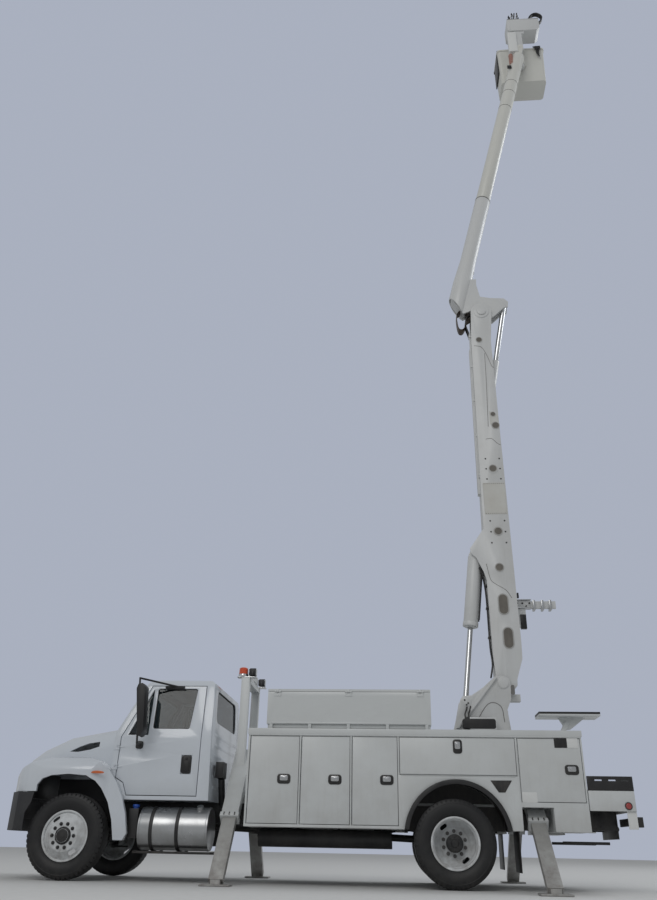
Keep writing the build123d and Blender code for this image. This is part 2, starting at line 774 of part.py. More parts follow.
def chassis_fittings():
    """Black fittings: fluid tank, batteries, air tanks and cleaner, arch rims, flaps, tail boards, rest pad."""
    fluid = block((-890, -765), (640, 980), (500, 850)) + block((-860, -790), (rail_outer_y, 645), (720, 800))
    battery = block((-1700, -1000), (-1060, -560), (420, 850))
    battery += block((-1500, -1200), (-565, -rail_outer_y), (720, 820))
    cleaner = block((-1940, -1835), (560, 800), (1250, 1450)) + bar((-1888, 620, 1255), (-1888, 470, 930), 45)
    cleaner += block((-1910, -1866), (rail_outer_y, 500), (880, 940))
    pieces = [fluid, battery, cleaner]
    air_y, air_z, air_radius = 600.0, 540.0, 110.0
    air = bar((-4200, air_y, air_z), (-2450, air_y, air_z), air_radius)
    for x in (-4000, -2700):
        air += block((x - 25, x + 25), (rail_outer_y, rail_outer_y + 30), (air_z + 20, 760))
        air += block((x - 25, x + 25), (rail_outer_y, air_y), (air_z + 20, air_z + 60))
    flap = block((-5790, -5780), (640, 1180), (200, pack_bottom_z))
    rim_y = (1165, pack_outer_y + 25)
    arch_rim = bar((wheel_arch_x, rim_y[0], wheel_arch_z), (wheel_arch_x, rim_y[1], wheel_arch_z),
                   wheel_arch_radius - seat_gap)
    arch_rim -= bar((wheel_arch_x, 1100, wheel_arch_z), (wheel_arch_x, 1300, wheel_arch_z), arch_rim_radius)
    arch_rim -= block((-6000, -4000), (1100, 1300), (-200, pack_bottom_z))
    pieces += both_sides(air) + both_sides(flap) + both_sides(arch_rim)
    low = tail_floor_z - tail_edge
    top = tail_floor_z + tail_board_height
    slots = (tail_floor_z + 105, tail_floor_z + 122)
    rear = block((tail_rear_x, tail_rear_x + 20), (-pack_outer_y, pack_outer_y), (low, top))
    for y in range(-1000, 1001, 250):
        rear -= block((tail_rear_x - 5, tail_rear_x + 25), (y - 50, y + 50), slots)
    side = block((tail_rear_x + 20 + seat_gap, pack_rear_x - 10), (pack_outer_y - 20, pack_outer_y), (low, top))
    for x in (-7130, -6980, -6810):
        side -= block((x - 45, x + 45), (1150, 1300), slots)
    pad = block(rest_xs, rest_ys, (rest_top_z - 30 + seat_gap, rest_top_z))
    return pieces + [rear, pad] + both_sides(side)


# Utility body. Each row of the table: name, front x, rear x, low z, high z, inner y.

drop_door = "4"
compartments = (
    ("1", -2365.0, -3025.0, 690.0, 1745.0, 600.0),
    ("2", -3045.0, -3690.0, 690.0, 1745.0, 600.0),
    ("3", -3710.0, -4305.0, 690.0, 1745.0, 600.0),
    ("4", -4325.0, -5815.0, 1285.0, 1745.0, 600.0),
    ("5", -5840.0, -6640.0, 985.0, 1745.0, 960.0),
)


def leg_axis(side_y, collar_z, foot_y):
    """Unit direction of a left leg, from its collar down to its foot."""
    run = foot_y - side_y
    drop = leg_foot_z - collar_z
    length = math.hypot(run, drop)
    return run / length, drop / length


def leg_point(x, collar_y, collar_z, foot_y, distance):
    """A point on the leg's axis, at a distance below its collar."""
    run, drop = leg_axis(collar_y, collar_z, foot_y)
    return (x, collar_y + run * distance, collar_z + drop * distance)


def side_pack():
    """The left pack: a hollow box with an open arch and five open compartments."""
    body = block((pack_rear_x, pack_front_x), (pack_inner_y, pack_outer_y), (pack_bottom_z, pack_top_z))
    body += block((pack_rear_x - 10, pack_front_x + 10), (pack_inner_y - 15, pack_outer_y + 12),
                  (pack_top_z, pack_top_z + rail_cap))
    body -= bar((wheel_arch_x, 500, wheel_arch_z), (wheel_arch_x, 1300, wheel_arch_z), wheel_arch_radius)
    body -= block((-6230, rear_leg_x + 200), (pack_inner_y - 20, 1300), (pack_bottom_z - 20, 930))
    for name, front, rear, low, high, inner in compartments:
        body -= block((rear, front), (inner, pack_outer_y + 5), (low, high))
    top = leg_point(rear_leg_x, rear_collar_y, rear_collar_z, rear_foot_y, -1100)
    low = leg_point(rear_leg_x, rear_collar_y, rear_collar_z, rear_foot_y, 150)
    body -= square_bar(low, top, housing_width + 30, housing_depth + 30)
    for name, front, rear, low, high, inner in compartments:
        body -= door_pin(name, front, rear, low, high, door_pin_radius + pin_gap, door_pin_depth + 2)
    for seam in pack_seams():
        body -= seam
    return body


def pack_seams():
    """Thin cuts where the boards, stiles, walls and arch strips of a pack meet."""
    face_y = pack_outer_y - pack_door_thickness
    wall_y = compartments[0][5]
    floor_z, lintel_z = compartments[0][3:5]
    stile_x = compartments[2][2]
    sill_z = compartments[3][3]
    tail_front, tail_rear, shelf_z = compartments[4][1:4]
    ends = (pack_rear_x - 20, pack_front_x + 20)
    below = pack_bottom_z - 20
    depth = (wall_y, pack_outer_y + 20)
    arch = (tail_front, stile_x)
    seams = [
        block(ends, (pack_inner_y - 20, pack_outer_y + 20), (pack_top_z - seat_gap, pack_top_z)),
        block(ends, (wall_y, wall_y + seat_gap), (below, pack_top_z)),
        block((stile_x, ends[1]), depth, (floor_z - seat_gap, floor_z)),
        block((stile_x, stile_x + seat_gap), depth, (below, floor_z)),
        block(ends, depth, (lintel_z, lintel_z + seat_gap)),
        block(arch, depth, (sill_z - seat_gap, sill_z)),
        block((tail_front - seat_gap, tail_front), depth, (below, lintel_z)),
        block((ends[0], tail_front), depth, (shelf_z - seat_gap, shelf_z)),
        block((tail_rear - seat_gap, tail_rear), depth, (shelf_z, lintel_z)),
        block(arch, (face_y - seat_gap, face_y), (below, sill_z)),
    ]
    for offset in arch_strips:
        x = wheel_arch_x + offset
        seams.append(block((x, x + seat_gap), (wall_y, face_y), (below, sill_z)))
    return seams


def door_axis(name, front, low):
    """Where a pack door turns: x and y of an upright axis, or y and z of a level one."""
    inset = door_edge_radius
    if name == drop_door:
        return pack_outer_y - inset, low + panel_gap + inset
    return front - panel_gap - inset, pack_outer_y - inset


def door_pin(name, front, rear, low, high, radius, depth):
    """The pivot line of a pack door, reaching into the frame at both ends."""
    first, second = door_axis(name, front, low)
    if name == drop_door:
        return bar((rear - depth, first, second), (front + depth, first, second), radius)
    return bar((first, second, low - depth), (first, second, high + depth), radius)


def pack_door(name, front, rear, low, high):
    """One flush door: a panel rounded along its pivot edge, with pivot pins at both ends."""
    x = (rear + panel_gap, front - panel_gap)
    z = (low + panel_gap, high - panel_gap)
    y = (pack_outer_y - pack_door_thickness, pack_outer_y)
    panel = block(x, y, z)
    outer = panel.edges().filter_by_position(Axis.Y, y[1] - 0.01, y[1] + 0.01)
    edge = outer.sort_by(Axis.Z)[0] if name == drop_door else outer.sort_by(Axis.X)[-1]
    panel = fillet(edge, door_edge_radius)
    return panel + door_pin(name, front, rear, low, high, door_pin_radius, door_pin_depth)


def deck():
    """Deck plate between the packs, the tail shelf and the stand for the lowered bucket."""
    top = rail_top + deck_thickness
    floor = block((pack_rear_x, pack_front_x), (-pack_inner_y, pack_inner_y), (rail_top, top))
    edge = pack_outer_y - 20
    tail = block((tail_rear_x + 20, pack_rear_x - 10), (-edge, edge), (tail_floor_z - 40, tail_floor_z))
    riser = block((pack_rear_x - 30, pack_rear_x), (-pack_inner_y, pack_inner_y), (rail_top, tail_floor_z))
    low = tail_floor_z - tail_edge
    rear = block((tail_rear_x, tail_rear_x + 20), (-pack_outer_y, pack_outer_y), (900, low))
    plates = floor + riser + tail + rear
    side = block((tail_rear_x, pack_rear_x - 10), (edge, pack_outer_y), (900, low))
    leg = block((-7100, -7040), (360, 420), (rail_top, tail_floor_z - 30))
    for piece in both_sides(side + leg):
        plates += piece
    under = rest_top_z - 30
    middle = sum(rest_ys) / 2
    stand = block(rest_xs, rest_ys, (under - 30, under))
    stand += side_form([(-6731, under - 29), (-7141, under - 29), (-6900, 2085), (-6836, 2085)],
                       (middle - 8, middle + 8))
    foot = (-6630, middle, pack_top_z + rail_cap - 60)
    post = square_bar(foot, (-6868, middle, under - 100), 70, 60)
    post -= block((-6800, -6400), (middle - 200, middle + 200), (1500, pack_top_z + rail_cap + seat_gap))
    return [plates, stand + post]


def lid_hinges():
    """The toolbox hinges along its outer top edge, as fixed and moving halves."""
    y = toolbox_outer_y + knuckle_radius
    bottom = toolbox_top_z - lid_thickness
    z = bottom - swing_gap / 2
    halves = []
    for middle in lid_hinge_xs:
        low = middle - lid_hinge_length / 2
        high = middle + lid_hinge_length / 2
        leaf = (toolbox_outer_y, toolbox_outer_y + 8)
        fixed = block((low, high), leaf, (z - 60, bottom - swing_gap))
        moving = block((low, high), leaf, (bottom, toolbox_top_z))
        moving += block((low, high), (toolbox_outer_y, toolbox_outer_y + knuckle_radius), (bottom, bottom + 8))
        halves.append(hinge_halves((low, y, z), (high, y, z), fixed, moving))
    return halves


def toolbox():
    """The long box on the left pack, with its feet and fixed hinge halves."""
    x = (toolbox_rear_x, toolbox_front_x)
    y = (toolbox_inner_y, toolbox_outer_y)
    top = toolbox_top_z - lid_thickness - swing_gap
    box = block(x, y, (toolbox_bottom_z, top))
    wall = toolbox_wall
    box -= block((x[0] + wall, x[1] - wall), (y[0] + wall, y[1] - wall), (toolbox_bottom_z + wall, top + 5))
    for step in range(5):
        foot = x[0] + 60 + step * (x[1] - x[0] - 120) / 4
        box += block((foot - 20, foot + 20), y, (pack_top_z + rail_cap, toolbox_bottom_z))
    for fixed, moving in lid_hinges():
        box += fixed
    return box


def toolbox_lid():
    lid = block((toolbox_rear_x, toolbox_front_x), (toolbox_inner_y, toolbox_outer_y),
                (toolbox_top_z - lid_thickness, toolbox_top_z))
    for fixed, moving in lid_hinges():
        lid += moving
    return lid


# Outriggers

def leg(x, collar_y, collar_z, foot_y, inside):
    """One left leg: the sliding tube, its ankle and its foot plate."""
    low = leg_point(x, collar_y, collar_z, foot_y, math.hypot(foot_y - collar_y, leg_foot_z - collar_z))
    top = leg_point(x, collar_y, collar_z, foot_y, -inside)
    tube = square_bar(top, low, leg_width, leg_depth)
    tube -= block((x - 300, x + 300), (low[1] - 400, low[1] + 400), (-200, foot_thickness - 5))
    foot = block((x - foot_length / 2, x + foot_length / 2), (foot_y - foot_width / 2, foot_y + foot_width / 2),
                 (0, foot_thickness))
    ankle = block((x - 60, x + 60), (foot_y - 60, foot_y + 60), (foot_thickness - 1, 70))
    return tube + foot + ankle


def leg_housing(x, collar_y, collar_z, foot_y, length):
    """The outer tube of one left leg with the collar at its mouth, and the room for the leg."""
    mouth = leg_point(x, collar_y, collar_z, foot_y, 0)
    top = leg_point(x, collar_y, collar_z, foot_y, -length)
    below = leg_point(x, collar_y, collar_z, foot_y, 10)
    ring = leg_point(x, collar_y, collar_z, foot_y, -collar_length)
    tube = square_bar(mouth, top, housing_width, housing_depth)
    tube += square_bar(mouth, ring, housing_width + 24, housing_depth + 24)
    end = leg_point(x, collar_y, collar_z, foot_y, 12 - length)
    room = square_bar(below, end, leg_width + 2 * slide_gap, leg_depth + 2 * slide_gap)
    room += square_bar(ring, end, leg_width + 2 * swing_gap, leg_depth + 2 * swing_gap)
    return tube, room


def front_outriggers():
    """Leg housings, cross beam, lamp posts and the rest for the lowered boom."""
    run = (front_collar_y - front_top_y) / leg_axis(front_collar_y, front_collar_z, front_foot_y)[0]
    housing, room = leg_housing(front_leg_x, front_collar_y, front_collar_z, front_foot_y, run)
    x = front_leg_x
    beam_y = front_collar_y - (1320 - front_collar_z) * (front_foot_y - front_collar_y) / (
        front_collar_z - leg_foot_z)
    frame = block((x - 90, x + 90), (-beam_y, beam_y), (1240, 1400))
    frame += block((x - 60, x + 60), (-430, 430), (post_top_z - 80, post_top_z))
    frame += block((x - 70, x + 70), (-150, 150), (post_top_z - 1, boom_rest_z))
    post = block((x - 55, x + 65), (385, 475), (1390, post_top_z))
    foot = block((x - 90, x + 90), (rail_outer_y - rail_flange, rail_outer_y), (rail_top, 1250))
    for piece in both_sides(housing) + both_sides(post) + both_sides(foot):
        frame += piece
    for piece in both_sides(room):
        frame -= piece
    return frame


def pedestal():
    """Column under the turret, joined to the rear leg housings."""
    x = (-5840, -5220)
    base = rail_top + deck_thickness
    column = block(x, (-290, 290), (base, pedestal_top_z - 30))
    column -= block((x[0] + 30, x[1] - 30), (-260, 260), (base - 1, pedestal_top_z - 60))
    column += bar((slew_x, 0, pedestal_top_z - 45), (slew_x, 0, pedestal_top_z), turret_radius + 15)
    column += bar((slew_x, 0, pedestal_top_z - 1), (slew_x, 0, turret_bottom_z - seat_gap), turret_radius - 60)
    run = (rear_collar_y - rear_top_y) / leg_axis(rear_collar_y, rear_collar_z, rear_foot_y)[0]
    housing, room = leg_housing(rear_leg_x, rear_collar_y, rear_collar_z, rear_foot_y, run)
    tower = block((rear_leg_x - 90, rear_leg_x + 90), (-300, 300), (base, 1400))
    tower -= block((rear_leg_x - 60, rear_leg_x + 60), (-270, 270), (base - 1, 1120))
    tie = block((rear_leg_x, x[0] + 10), (-200, 200), (base, 1300))
    tie -= block((rear_leg_x, x[0]), (-170, 170), (base - 1, 1270))
    column += tower + tie
    for piece in both_sides(housing):
        column += piece
    for piece in both_sides(room):
        column -= piece
    return column


def lamps():
    """Beacons and work lamps on the posts, and the round tail lamps."""
    x = front_leg_x
    low = post_top_z + seat_gap
    pieces = []
    for side in (1, -1):
        y = sorted((side * 365, side * 475))
        bracket = block((x - 145, x + 125), y, (low, low + 12))
        beacon = block((x - 20, x + 125), y, (low + 12, low + 150))
        flood = block((x - 145, x - 28), y, (low + 12, low + 140))
        pieces.append(bracket + beacon + flood)
        lamp_y = side * (pack_outer_y + seat_gap)
        pieces.append(bar((-7140, lamp_y, 960), (-7140, lamp_y + side * 14, 960), 38))
        for y in (700, 850):
            pieces.append(bar((tail_rear_x - seat_gap, side * y, 1010), (tail_rear_x - 14, side * y, 1010), 50))
    return pieces


# Turret and booms

def turret():
    base = bar((slew_x, 0, turret_bottom_z), (slew_x, 0, turret_bottom_z + 50), turret_radius)
    outline = [
        (-5110, 1940), (-5170, 2150), (-5225, 2390), (-5265, 2440), (-5390, 2450), (-5560, 2560),
        (-5750, 2725), (-5860, 2735), (-5950, 2690), (-5965, 2600), (-5955, 2400), (-5890, 2250), (-5925, 1940),
    ]
    plate = side_form(outline, (turret_plate_y, turret_plate_y + turret_plate))
    strip = side_form([(-5150, 1990), (-5185, 1990), (-5770, 2700), (-5740, 2715)],
                      (turret_plate_y + turret_plate, turret_plate_y + turret_plate + 45))
    boss = bar((hinge_x, turret_plate_y + turret_plate, hinge_z),
               (hinge_x, turret_plate_y + turret_plate + 20, hinge_z), 75)
    stub = bar((lift_pin_x, turret_plate_y - 50, lift_pin_z),
               (lift_pin_x, turret_plate_y + turret_plate + 15, lift_pin_z), 50)
    turret_form = base + block((-5700, -5330), (215, 390), (turret_bottom_z + 40, 2120))
    for piece in both_sides(plate + strip + boss + stub):
        turret_form += piece
    foot = block((-5925, -5110), (-turret_plate_y - 20, turret_plate_y + 20), (turret_bottom_z + 40, 1960))
    rear = block((-5900, -5870), (-turret_plate_y, turret_plate_y), (1950, 2240))
    rear += block((-6110, -5880), (-60, 60), (2390, 2490)) + block((-5960, -5880), (-turret_plate_y, turret_plate_y),
                                                                  (2390, 2420))
    pin = cross_pin(hinge_x, hinge_z, turret_plate_y + 5, hinge_pin_radius)
    return turret_form + foot + rear + pin


lower_outline = [
    (-5960, 2545), (-5860, 2525), (-5775, 2570), (-5765, 2740), (-5745, 3060), (-5735, 4300), (-5745, 5100),
    (-5770, 8670), (elbow_x + elbow_radius, elbow_z), (elbow_x - elbow_radius, elbow_z), (-6122, 8670),
    (-6150, 5760), (-6180, 3250), (-6175, 2990), (-6075, 2690), (-6070, 2600),
]
# Covers on the boom's sides: x, z, radius, straight length along the boom.
boom_covers = (
    (-5909.0, 8701.0, 60.0, 0.0),
    (-6045.0, 7150.0, 48.0, 0.0),
    (-6075.0, 6930.0, 70.0, 0.0),
    (-5970.0, 6115.0, 85.0, 0.0),
    (-5947.0, 4401.0, 72.0, 0.0),
    (-5960.0, 3811.0, 82.0, 170.0),
    (-5995.0, 3295.0, 82.0, 170.0),
)
cover_thickness = 8.0
tool_arm_z = 3890.0
tool_arm_reach_x = -6809.0
elbow_boss = 12.0


def fold_direction():
    """Unit direction of the fold cylinder, from its eye down to its barrel."""
    run = fold_top_x - crank_x
    drop = fold_top_z - crank_z
    length = math.hypot(run, drop)
    return run / length, drop / length


def fold_point(distance):
    """A point on the fold cylinder's axis, at a distance from its eye."""
    run, drop = fold_direction()
    return (crank_x + run * distance, 0, crank_z + drop * distance)


def lower_boom():
    half = boom_half_width
    form = side_form(lower_outline, (-half, half))
    for x, z, radius, length in boom_covers:
        for end in (z - length / 2, z + length / 2):
            form += cross_pin(x, end, half + cover_thickness, radius)
        if length:
            wide = (x - radius, x + radius)
            form += block(wide, (-half - cover_thickness, half + cover_thickness), (z - length / 2, z + length / 2))
    form += side_form([(-5752, 5700), (-5768, 8560), (-5735, 8560), (-5712, 5700)], (-60, 60))
    form += cross_pin(elbow_x, elbow_z, half, elbow_radius)
    form += cross_pin(elbow_x, elbow_z, half + elbow_boss, 135)
    form += cross_pin(hinge_x, hinge_z, half, 105)
    inner = side_form([(-5785, 3100), (-5775, 4300), (-5785, 5100), (-5800, 8100), (-5800, 8600),
                       (-6095, 8600), (-6115, 5760), (-6150, 3250), (-6140, 3100)],
                      (boom_wall - half, half - boom_wall))
    mouth = block((-6400, -5600), (elbow_cheek - half, half - elbow_cheek), (8580, 9700))
    form = form - inner - mouth
    for side in (1, -1):
        y = sorted((side * (half - 30), side * half))
        lug = side_form([(-5760, 4120), (-5700, 4330), (-5600, 4560), (-5520, 4640), (-5510, 4720),
                         (-5560, 4790), (-5740, 5050), (-5760, 5050)], y)
        form += lug + bar((lug_x, y[0], lug_z), (lug_x, y[1], lug_z), 85)
    form += cross_pin(lug_x, lug_z, half, lug_pin_radius)
    arm_y = (-half - 65, -half - 15)
    form += block((tool_arm_reach_x, -6100), arm_y, (tool_arm_z - 56, tool_arm_z + 56))
    form += block((-6160, -6000), (arm_y[0], 1 - half), (tool_arm_z - 90, tool_arm_z + 90))
    form += block((-6338, -6222), (arm_y[0], arm_y[1]), (tool_arm_z - 355, tool_arm_z - 55))
    form -= cross_pin(hinge_x, hinge_z, half + 5, hinge_pin_radius + pin_gap)
    form -= cross_pin(elbow_x, elbow_z, half + elbow_boss + 5, elbow_pin_radius + pin_gap)
    top = math.hypot(fold_top_x - crank_x, fold_top_z - crank_z)
    form += bar(fold_point(top + 1300), fold_point(top), fold_barrel_radius)
    form -= bar(fold_point(top + 1270), fold_point(top - 10), fold_rod_radius + slide_gap)
    return form


def lift_direction():
    """Unit direction of the lift cylinder, from the lug down to the turret."""
    run = lift_pin_x - lug_x
    drop = lift_pin_z - lug_z
    length = math.hypot(run, drop)
    return run / length, drop / length


def lift_point(distance):
    run, drop = lift_direction()
    return (lug_x + run * distance, 0, lug_z + drop * distance)


def lift_barrel():
    eye = cross_pin(lug_x, lug_z, 100, 70)
    barrel = bar(lift_point(60), lift_point(lift_barrel_length), lift_barrel_radius)
    bore = bar(lift_point(140), lift_point(lift_barrel_length + 5), lift_rod_radius + slide_gap)
    return eye + barrel - bore - cross_pin(lug_x, lug_z, 120, lug_pin_radius + pin_gap)


def lift_rod():
    reach = math.hypot(lift_pin_x - lug_x, lift_pin_z - lug_z)
    rod = bar(lift_point(lift_barrel_length - 190), lift_point(reach), lift_rod_radius)
    return rod + cross_pin(lift_pin_x, lift_pin_z, 70, 65)


def fold_rod():
    top = math.hypot(fold_top_x - crank_x, fold_top_z - crank_z)
    rod = bar(fold_point(0), fold_point(top + 250), fold_rod_radius)
    return rod + cross_pin(crank_x, crank_z, 50, 62)


def elbow_hub():
    """The levelled hub between the boom's cheeks, with the elbow pin through it."""
    hub = cross_pin(elbow_x, elbow_z, 78, 120)
    start = boom_half_width + elbow_boss + seat_gap
    pin = cross_pin(elbow_x, elbow_z, start + 22, elbow_pin_radius)
    cap = bar((elbow_x, start, elbow_z), (elbow_x, start + 22, elbow_z), 80)
    return hub + pin + cap + other_side(cap)


def tube_x(z):
    """X of the upper boom's axis at a height."""
    return tube_zero_x - tube_lean * z


def tube_point(z):
    return (tube_x(z), 0, z)


def upper_boom():
    """Steel root of the upper boom: sleeve, cheeks at the elbow and the crank."""
    root = bar(tube_point(9150), tube_point(root_top_z), root_radius)
    axis = Vector(*tube_point(sleeve_top_z)) - Vector(*tube_point(root_top_z))
    start = Plane(origin=tube_point(root_top_z), z_dir=axis)
    neck = loft([start * Circle(root_radius), start.offset(550) * Circle(sleeve_radius)])
    sleeve = bar(tube_point(root_top_z + 520), tube_point(sleeve_top_z), sleeve_radius)
    outline = [
        (-5545, 10120), (-5455, 9690), (-5664, 9325), (-5815, 9385), (-5830, 9270), (-5900, 9195),
        (-5990, 9180), (-6090, 9200), (-6215, 9240), (-6420, 9440), (-6490, 9450), (-6505, 9560),
        (-6430, 9640), (-6180, 9660), (-5995, 9700), (-5945, 9970), (-5950, 10110),
    ]
    cheek = side_form(outline, (85, 118))
    body = root + neck + sleeve
    below = side_form([(-5768, 9153), (-5353, 9852), (-5100, 9852), (-5100, 8900), (-6100, 8900), (-6100, 9153)],
                      (-300, 300))
    behind = side_form([(-5815, 9385), (-5750, 9150), (-6200, 9150), (-6200, 9700), (-5985, 9700)], (-300, 300))
    body = body - below - behind
    web = side_form([(-5455, 9690), (-5480, 9690), (-5690, 9345), (-5664, 9325)], (-110, 110))
    back = side_form([(-5945, 9970), (-5995, 9700), (-6180, 9660), (-6180, 9640), (-5970, 9680), (-5915, 9960)],
                     (-110, 110))
    body = body + back
    for piece in both_sides(cheek):
        body += piece
    body -= bar(tube_point(9100), tube_point(root_top_z - 250), root_radius - 14)
    body += web & block((-6000, -5400), (-118, 118), (9300, 9700))
    for piece in both_sides(cheek):
        body += piece
    swing = cross_pin(elbow_x, elbow_z, fold_slot_y, fold_swing_radius)
    swing &= side_form([(-5990, 9330), (-6700, 9330), (-6700, 10100), (-5650, 10100)], (-100, 100))
    folded = side_form([(-5650, 9700), (-5700, 9880), (-5880, 10350), (-6200, 10350), (-6200, 9700)],
                       (-fold_slot_y, fold_slot_y))
    body = body - swing - folded
    return body - cross_pin(elbow_x, elbow_z, 130, elbow_pin_radius + pin_gap)


def head_point(distance):
    """A point on the tube's axis, at a distance below the head pin."""
    length = math.hypot(tube_lean, 1)
    z = head_z - distance / length
    return tube_point(z)


def upper_tube():
    """The fibreglass tube and the steel fork at its tip."""
    tube = bar(tube_point(sleeve_top_z), head_point(head_reach), tube_radius)
    x = tube_x(head_z)
    for side in (1, -1):
        y = sorted((side * 88, side * 106))
        low = head_point(head_reach + 330)
        along = Vector(*head_point(0)) - Vector(*low)
        plane = Plane(origin=(low[0], side * 97, low[2]), x_dir=(0, 1, 0), z_dir=along)
        tube += extrude(plane * Rectangle(18, 150), along.length)
        tube += bar((x, y[0], head_z), (x, y[1], head_z), 75)
    return tube + cross_pin(x, head_z, 112, head_pin_radius)


def boom_head():
    """Levelled head: post on the head pin, bucket shaft, arm and control console."""
    x = tube_x(head_z)
    post = block((x - 75, x + 75), (-80, 80), (head_z - 60, console_bottom_z - 60))
    post -= cross_pin(x, head_z, 90, head_pin_radius + pin_gap)
    arm = block((shaft_x - 70, x + 75), (shaft_y - 70, 80), (console_bottom_z - 75, console_bottom_z))
    shaft = bar((shaft_x, shaft_y, head_z - 300), (shaft_x, shaft_y, console_bottom_z - 70), shaft_radius)
    console = side_form([(-7850, console_bottom_z + 60), (-7780, console_bottom_z), (-7180, console_bottom_z),
                         (-7130, console_bottom_z + 40), (-7130, console_top_z), (-7850, console_top_z - 30)],
                        (-250, 110))
    levers = block((-7360, -7180), (-60, 60), (console_top_z - 20, console_top_z + 40))
    for lx in (-7330, -7270, -7210):
        levers += bar((lx, 0, console_top_z + 30), (lx - 75, 10, console_top_z + lever_rise), 9)
    return post + arm + shaft + console + levers


def bucket():
    """An open tub with a rim, on a collar that turns about the shaft."""
    middle_x = (bucket_front_x + bucket_rear_x) / 2
    middle_y = (bucket_inner_y + bucket_outer_y) / 2
    long_side = bucket_front_x - bucket_rear_x
    short_side = bucket_inner_y - bucket_outer_y

    def tub(shrink, low, high):
        top = Plane(origin=(middle_x, middle_y, high)) * RectangleRounded(
            long_side - shrink, short_side - shrink, 70)
        bottom = Plane(origin=(middle_x, middle_y, low)) * RectangleRounded(
            long_side - shrink - 2 * bucket_taper, short_side - shrink - 2 * bucket_taper, 70)
        return loft([bottom, top])

    form = tub(30, bucket_bottom_z, bucket_top_z)
    lip = extrude(Plane(origin=(middle_x, middle_y, bucket_top_z - 40)) * RectangleRounded(
        long_side, short_side, 80), 40)
    form = form + lip - tub(30 + 2 * bucket_wall, bucket_bottom_z + 20, bucket_top_z + 2)
    collar = bar((shaft_x, shaft_y, head_z - 200), (shaft_x, shaft_y, head_z + 200), shaft_radius + 14)
    mount = block((shaft_x - 110, shaft_x + 110), (bucket_inner_y - 45, shaft_y - 40), (head_z - 180, head_z + 180))
    room = block((bucket_rear_x + 60, bucket_front_x - 60), (bucket_outer_y + 60, bucket_inner_y - 45),
                 (head_z - 400, head_z + 600))
    bore = bar((shaft_x, shaft_y, head_z - 250), (shaft_x, shaft_y, head_z + 250), shaft_radius + pin_gap)
    return form + (mount - room) + collar - bore


def parts():
    """Every piece under its node name."""
    outer = cab_form(0)
    inner = cab_form(cab_wall)
    bonnet = hood_form()
    door = cab_door(outer, inner)
    pane = glazing(window_holes())
    left_mirror = mirror_arm()
    pack = side_pack()
    left_tyre = tyre(0, front_wheel_y)
    nodes = {
        "frame_rails": frame_rails(),
        "front_axle": front_axle(),
        "rear_axle": rear_axle(),
        "engine": engine(),
        "front_bumper": front_bumper(),
        "cab_shell": cab_shell(outer, inner),
        "cab_glass": [glazing(windscreen_hole()), glazing(rear_window_hole())],
        "cab_interior": cab_interior(),
        "fuel_tank": fuel_tank(),
        "chassis_fittings": chassis_fittings(),
        "side_pack_left": pack,
        "side_pack_right": other_side(pack),
        "deck": deck(),
        "toolbox": toolbox(),
        "toolbox_lid": toolbox_lid(),
        "front_outriggers": front_outriggers(),
        "pedestal": pedestal(),
        "lamps": lamps(),
        "hood": hood(bonnet),
        "headlamps": headlamps(bonnet),
        "turret": turret(),
        "lower_boom": lower_boom(),
        "lift_barrel": lift_barrel(),
        "lift_rod": lift_rod(),
        "fold_rod": fold_rod(),
        "elbow_hub": elbow_hub(),
        "upper_boom": upper_boom(),
        "upper_tube": upper_tube(),
        "boom_head": boom_head(),
        "bucket": bucket(),
    }
    paired = {
        "knuckle": knuckle(),
        "tyre_front": left_tyre,
        "rim_front": front_wheel(),
        "tyre_rear": rear_tyres(),
        "rim_rear": rear_wheels(),
        "cab_door": door,
        "door_glass": pane,
        "mirror": left_mirror,
        "leg_front": leg(front_leg_x, front_collar_y, front_collar_z, front_foot_y, leg_reach_front),
        "leg_rear": leg(rear_leg_x, rear_collar_y, rear_collar_z, rear_foot_y, leg_reach_rear),
    }
    for name, front, rear, low, high, inner_y in compartments:
        paired["pack_door_" + name] = pack_door(name, front, rear, low, high)
    for name, shape in paired.items():
        pieces = shape if isinstance(shape, list) else [shape]
        nodes[name + "_left"] = pieces
        nodes[name + "_right"] = [other_side(piece) for piece in pieces]
    return nodes


os.makedirs("parts", exist_ok=True)
for node, shape in parts().items():
    pieces = shape if isinstance(shape, list) else [shape]
    solids = [solid for piece in pieces for solid in piece.solids()]
    moved = [solid.moved(Location((front_axle_x, 0, 0))) for solid in solids]
    export_step(Compound(moved), "parts/" + node + ".step")
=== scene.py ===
import bpy
import bmesh
import json
import math
from mathutils import Matrix, Vector


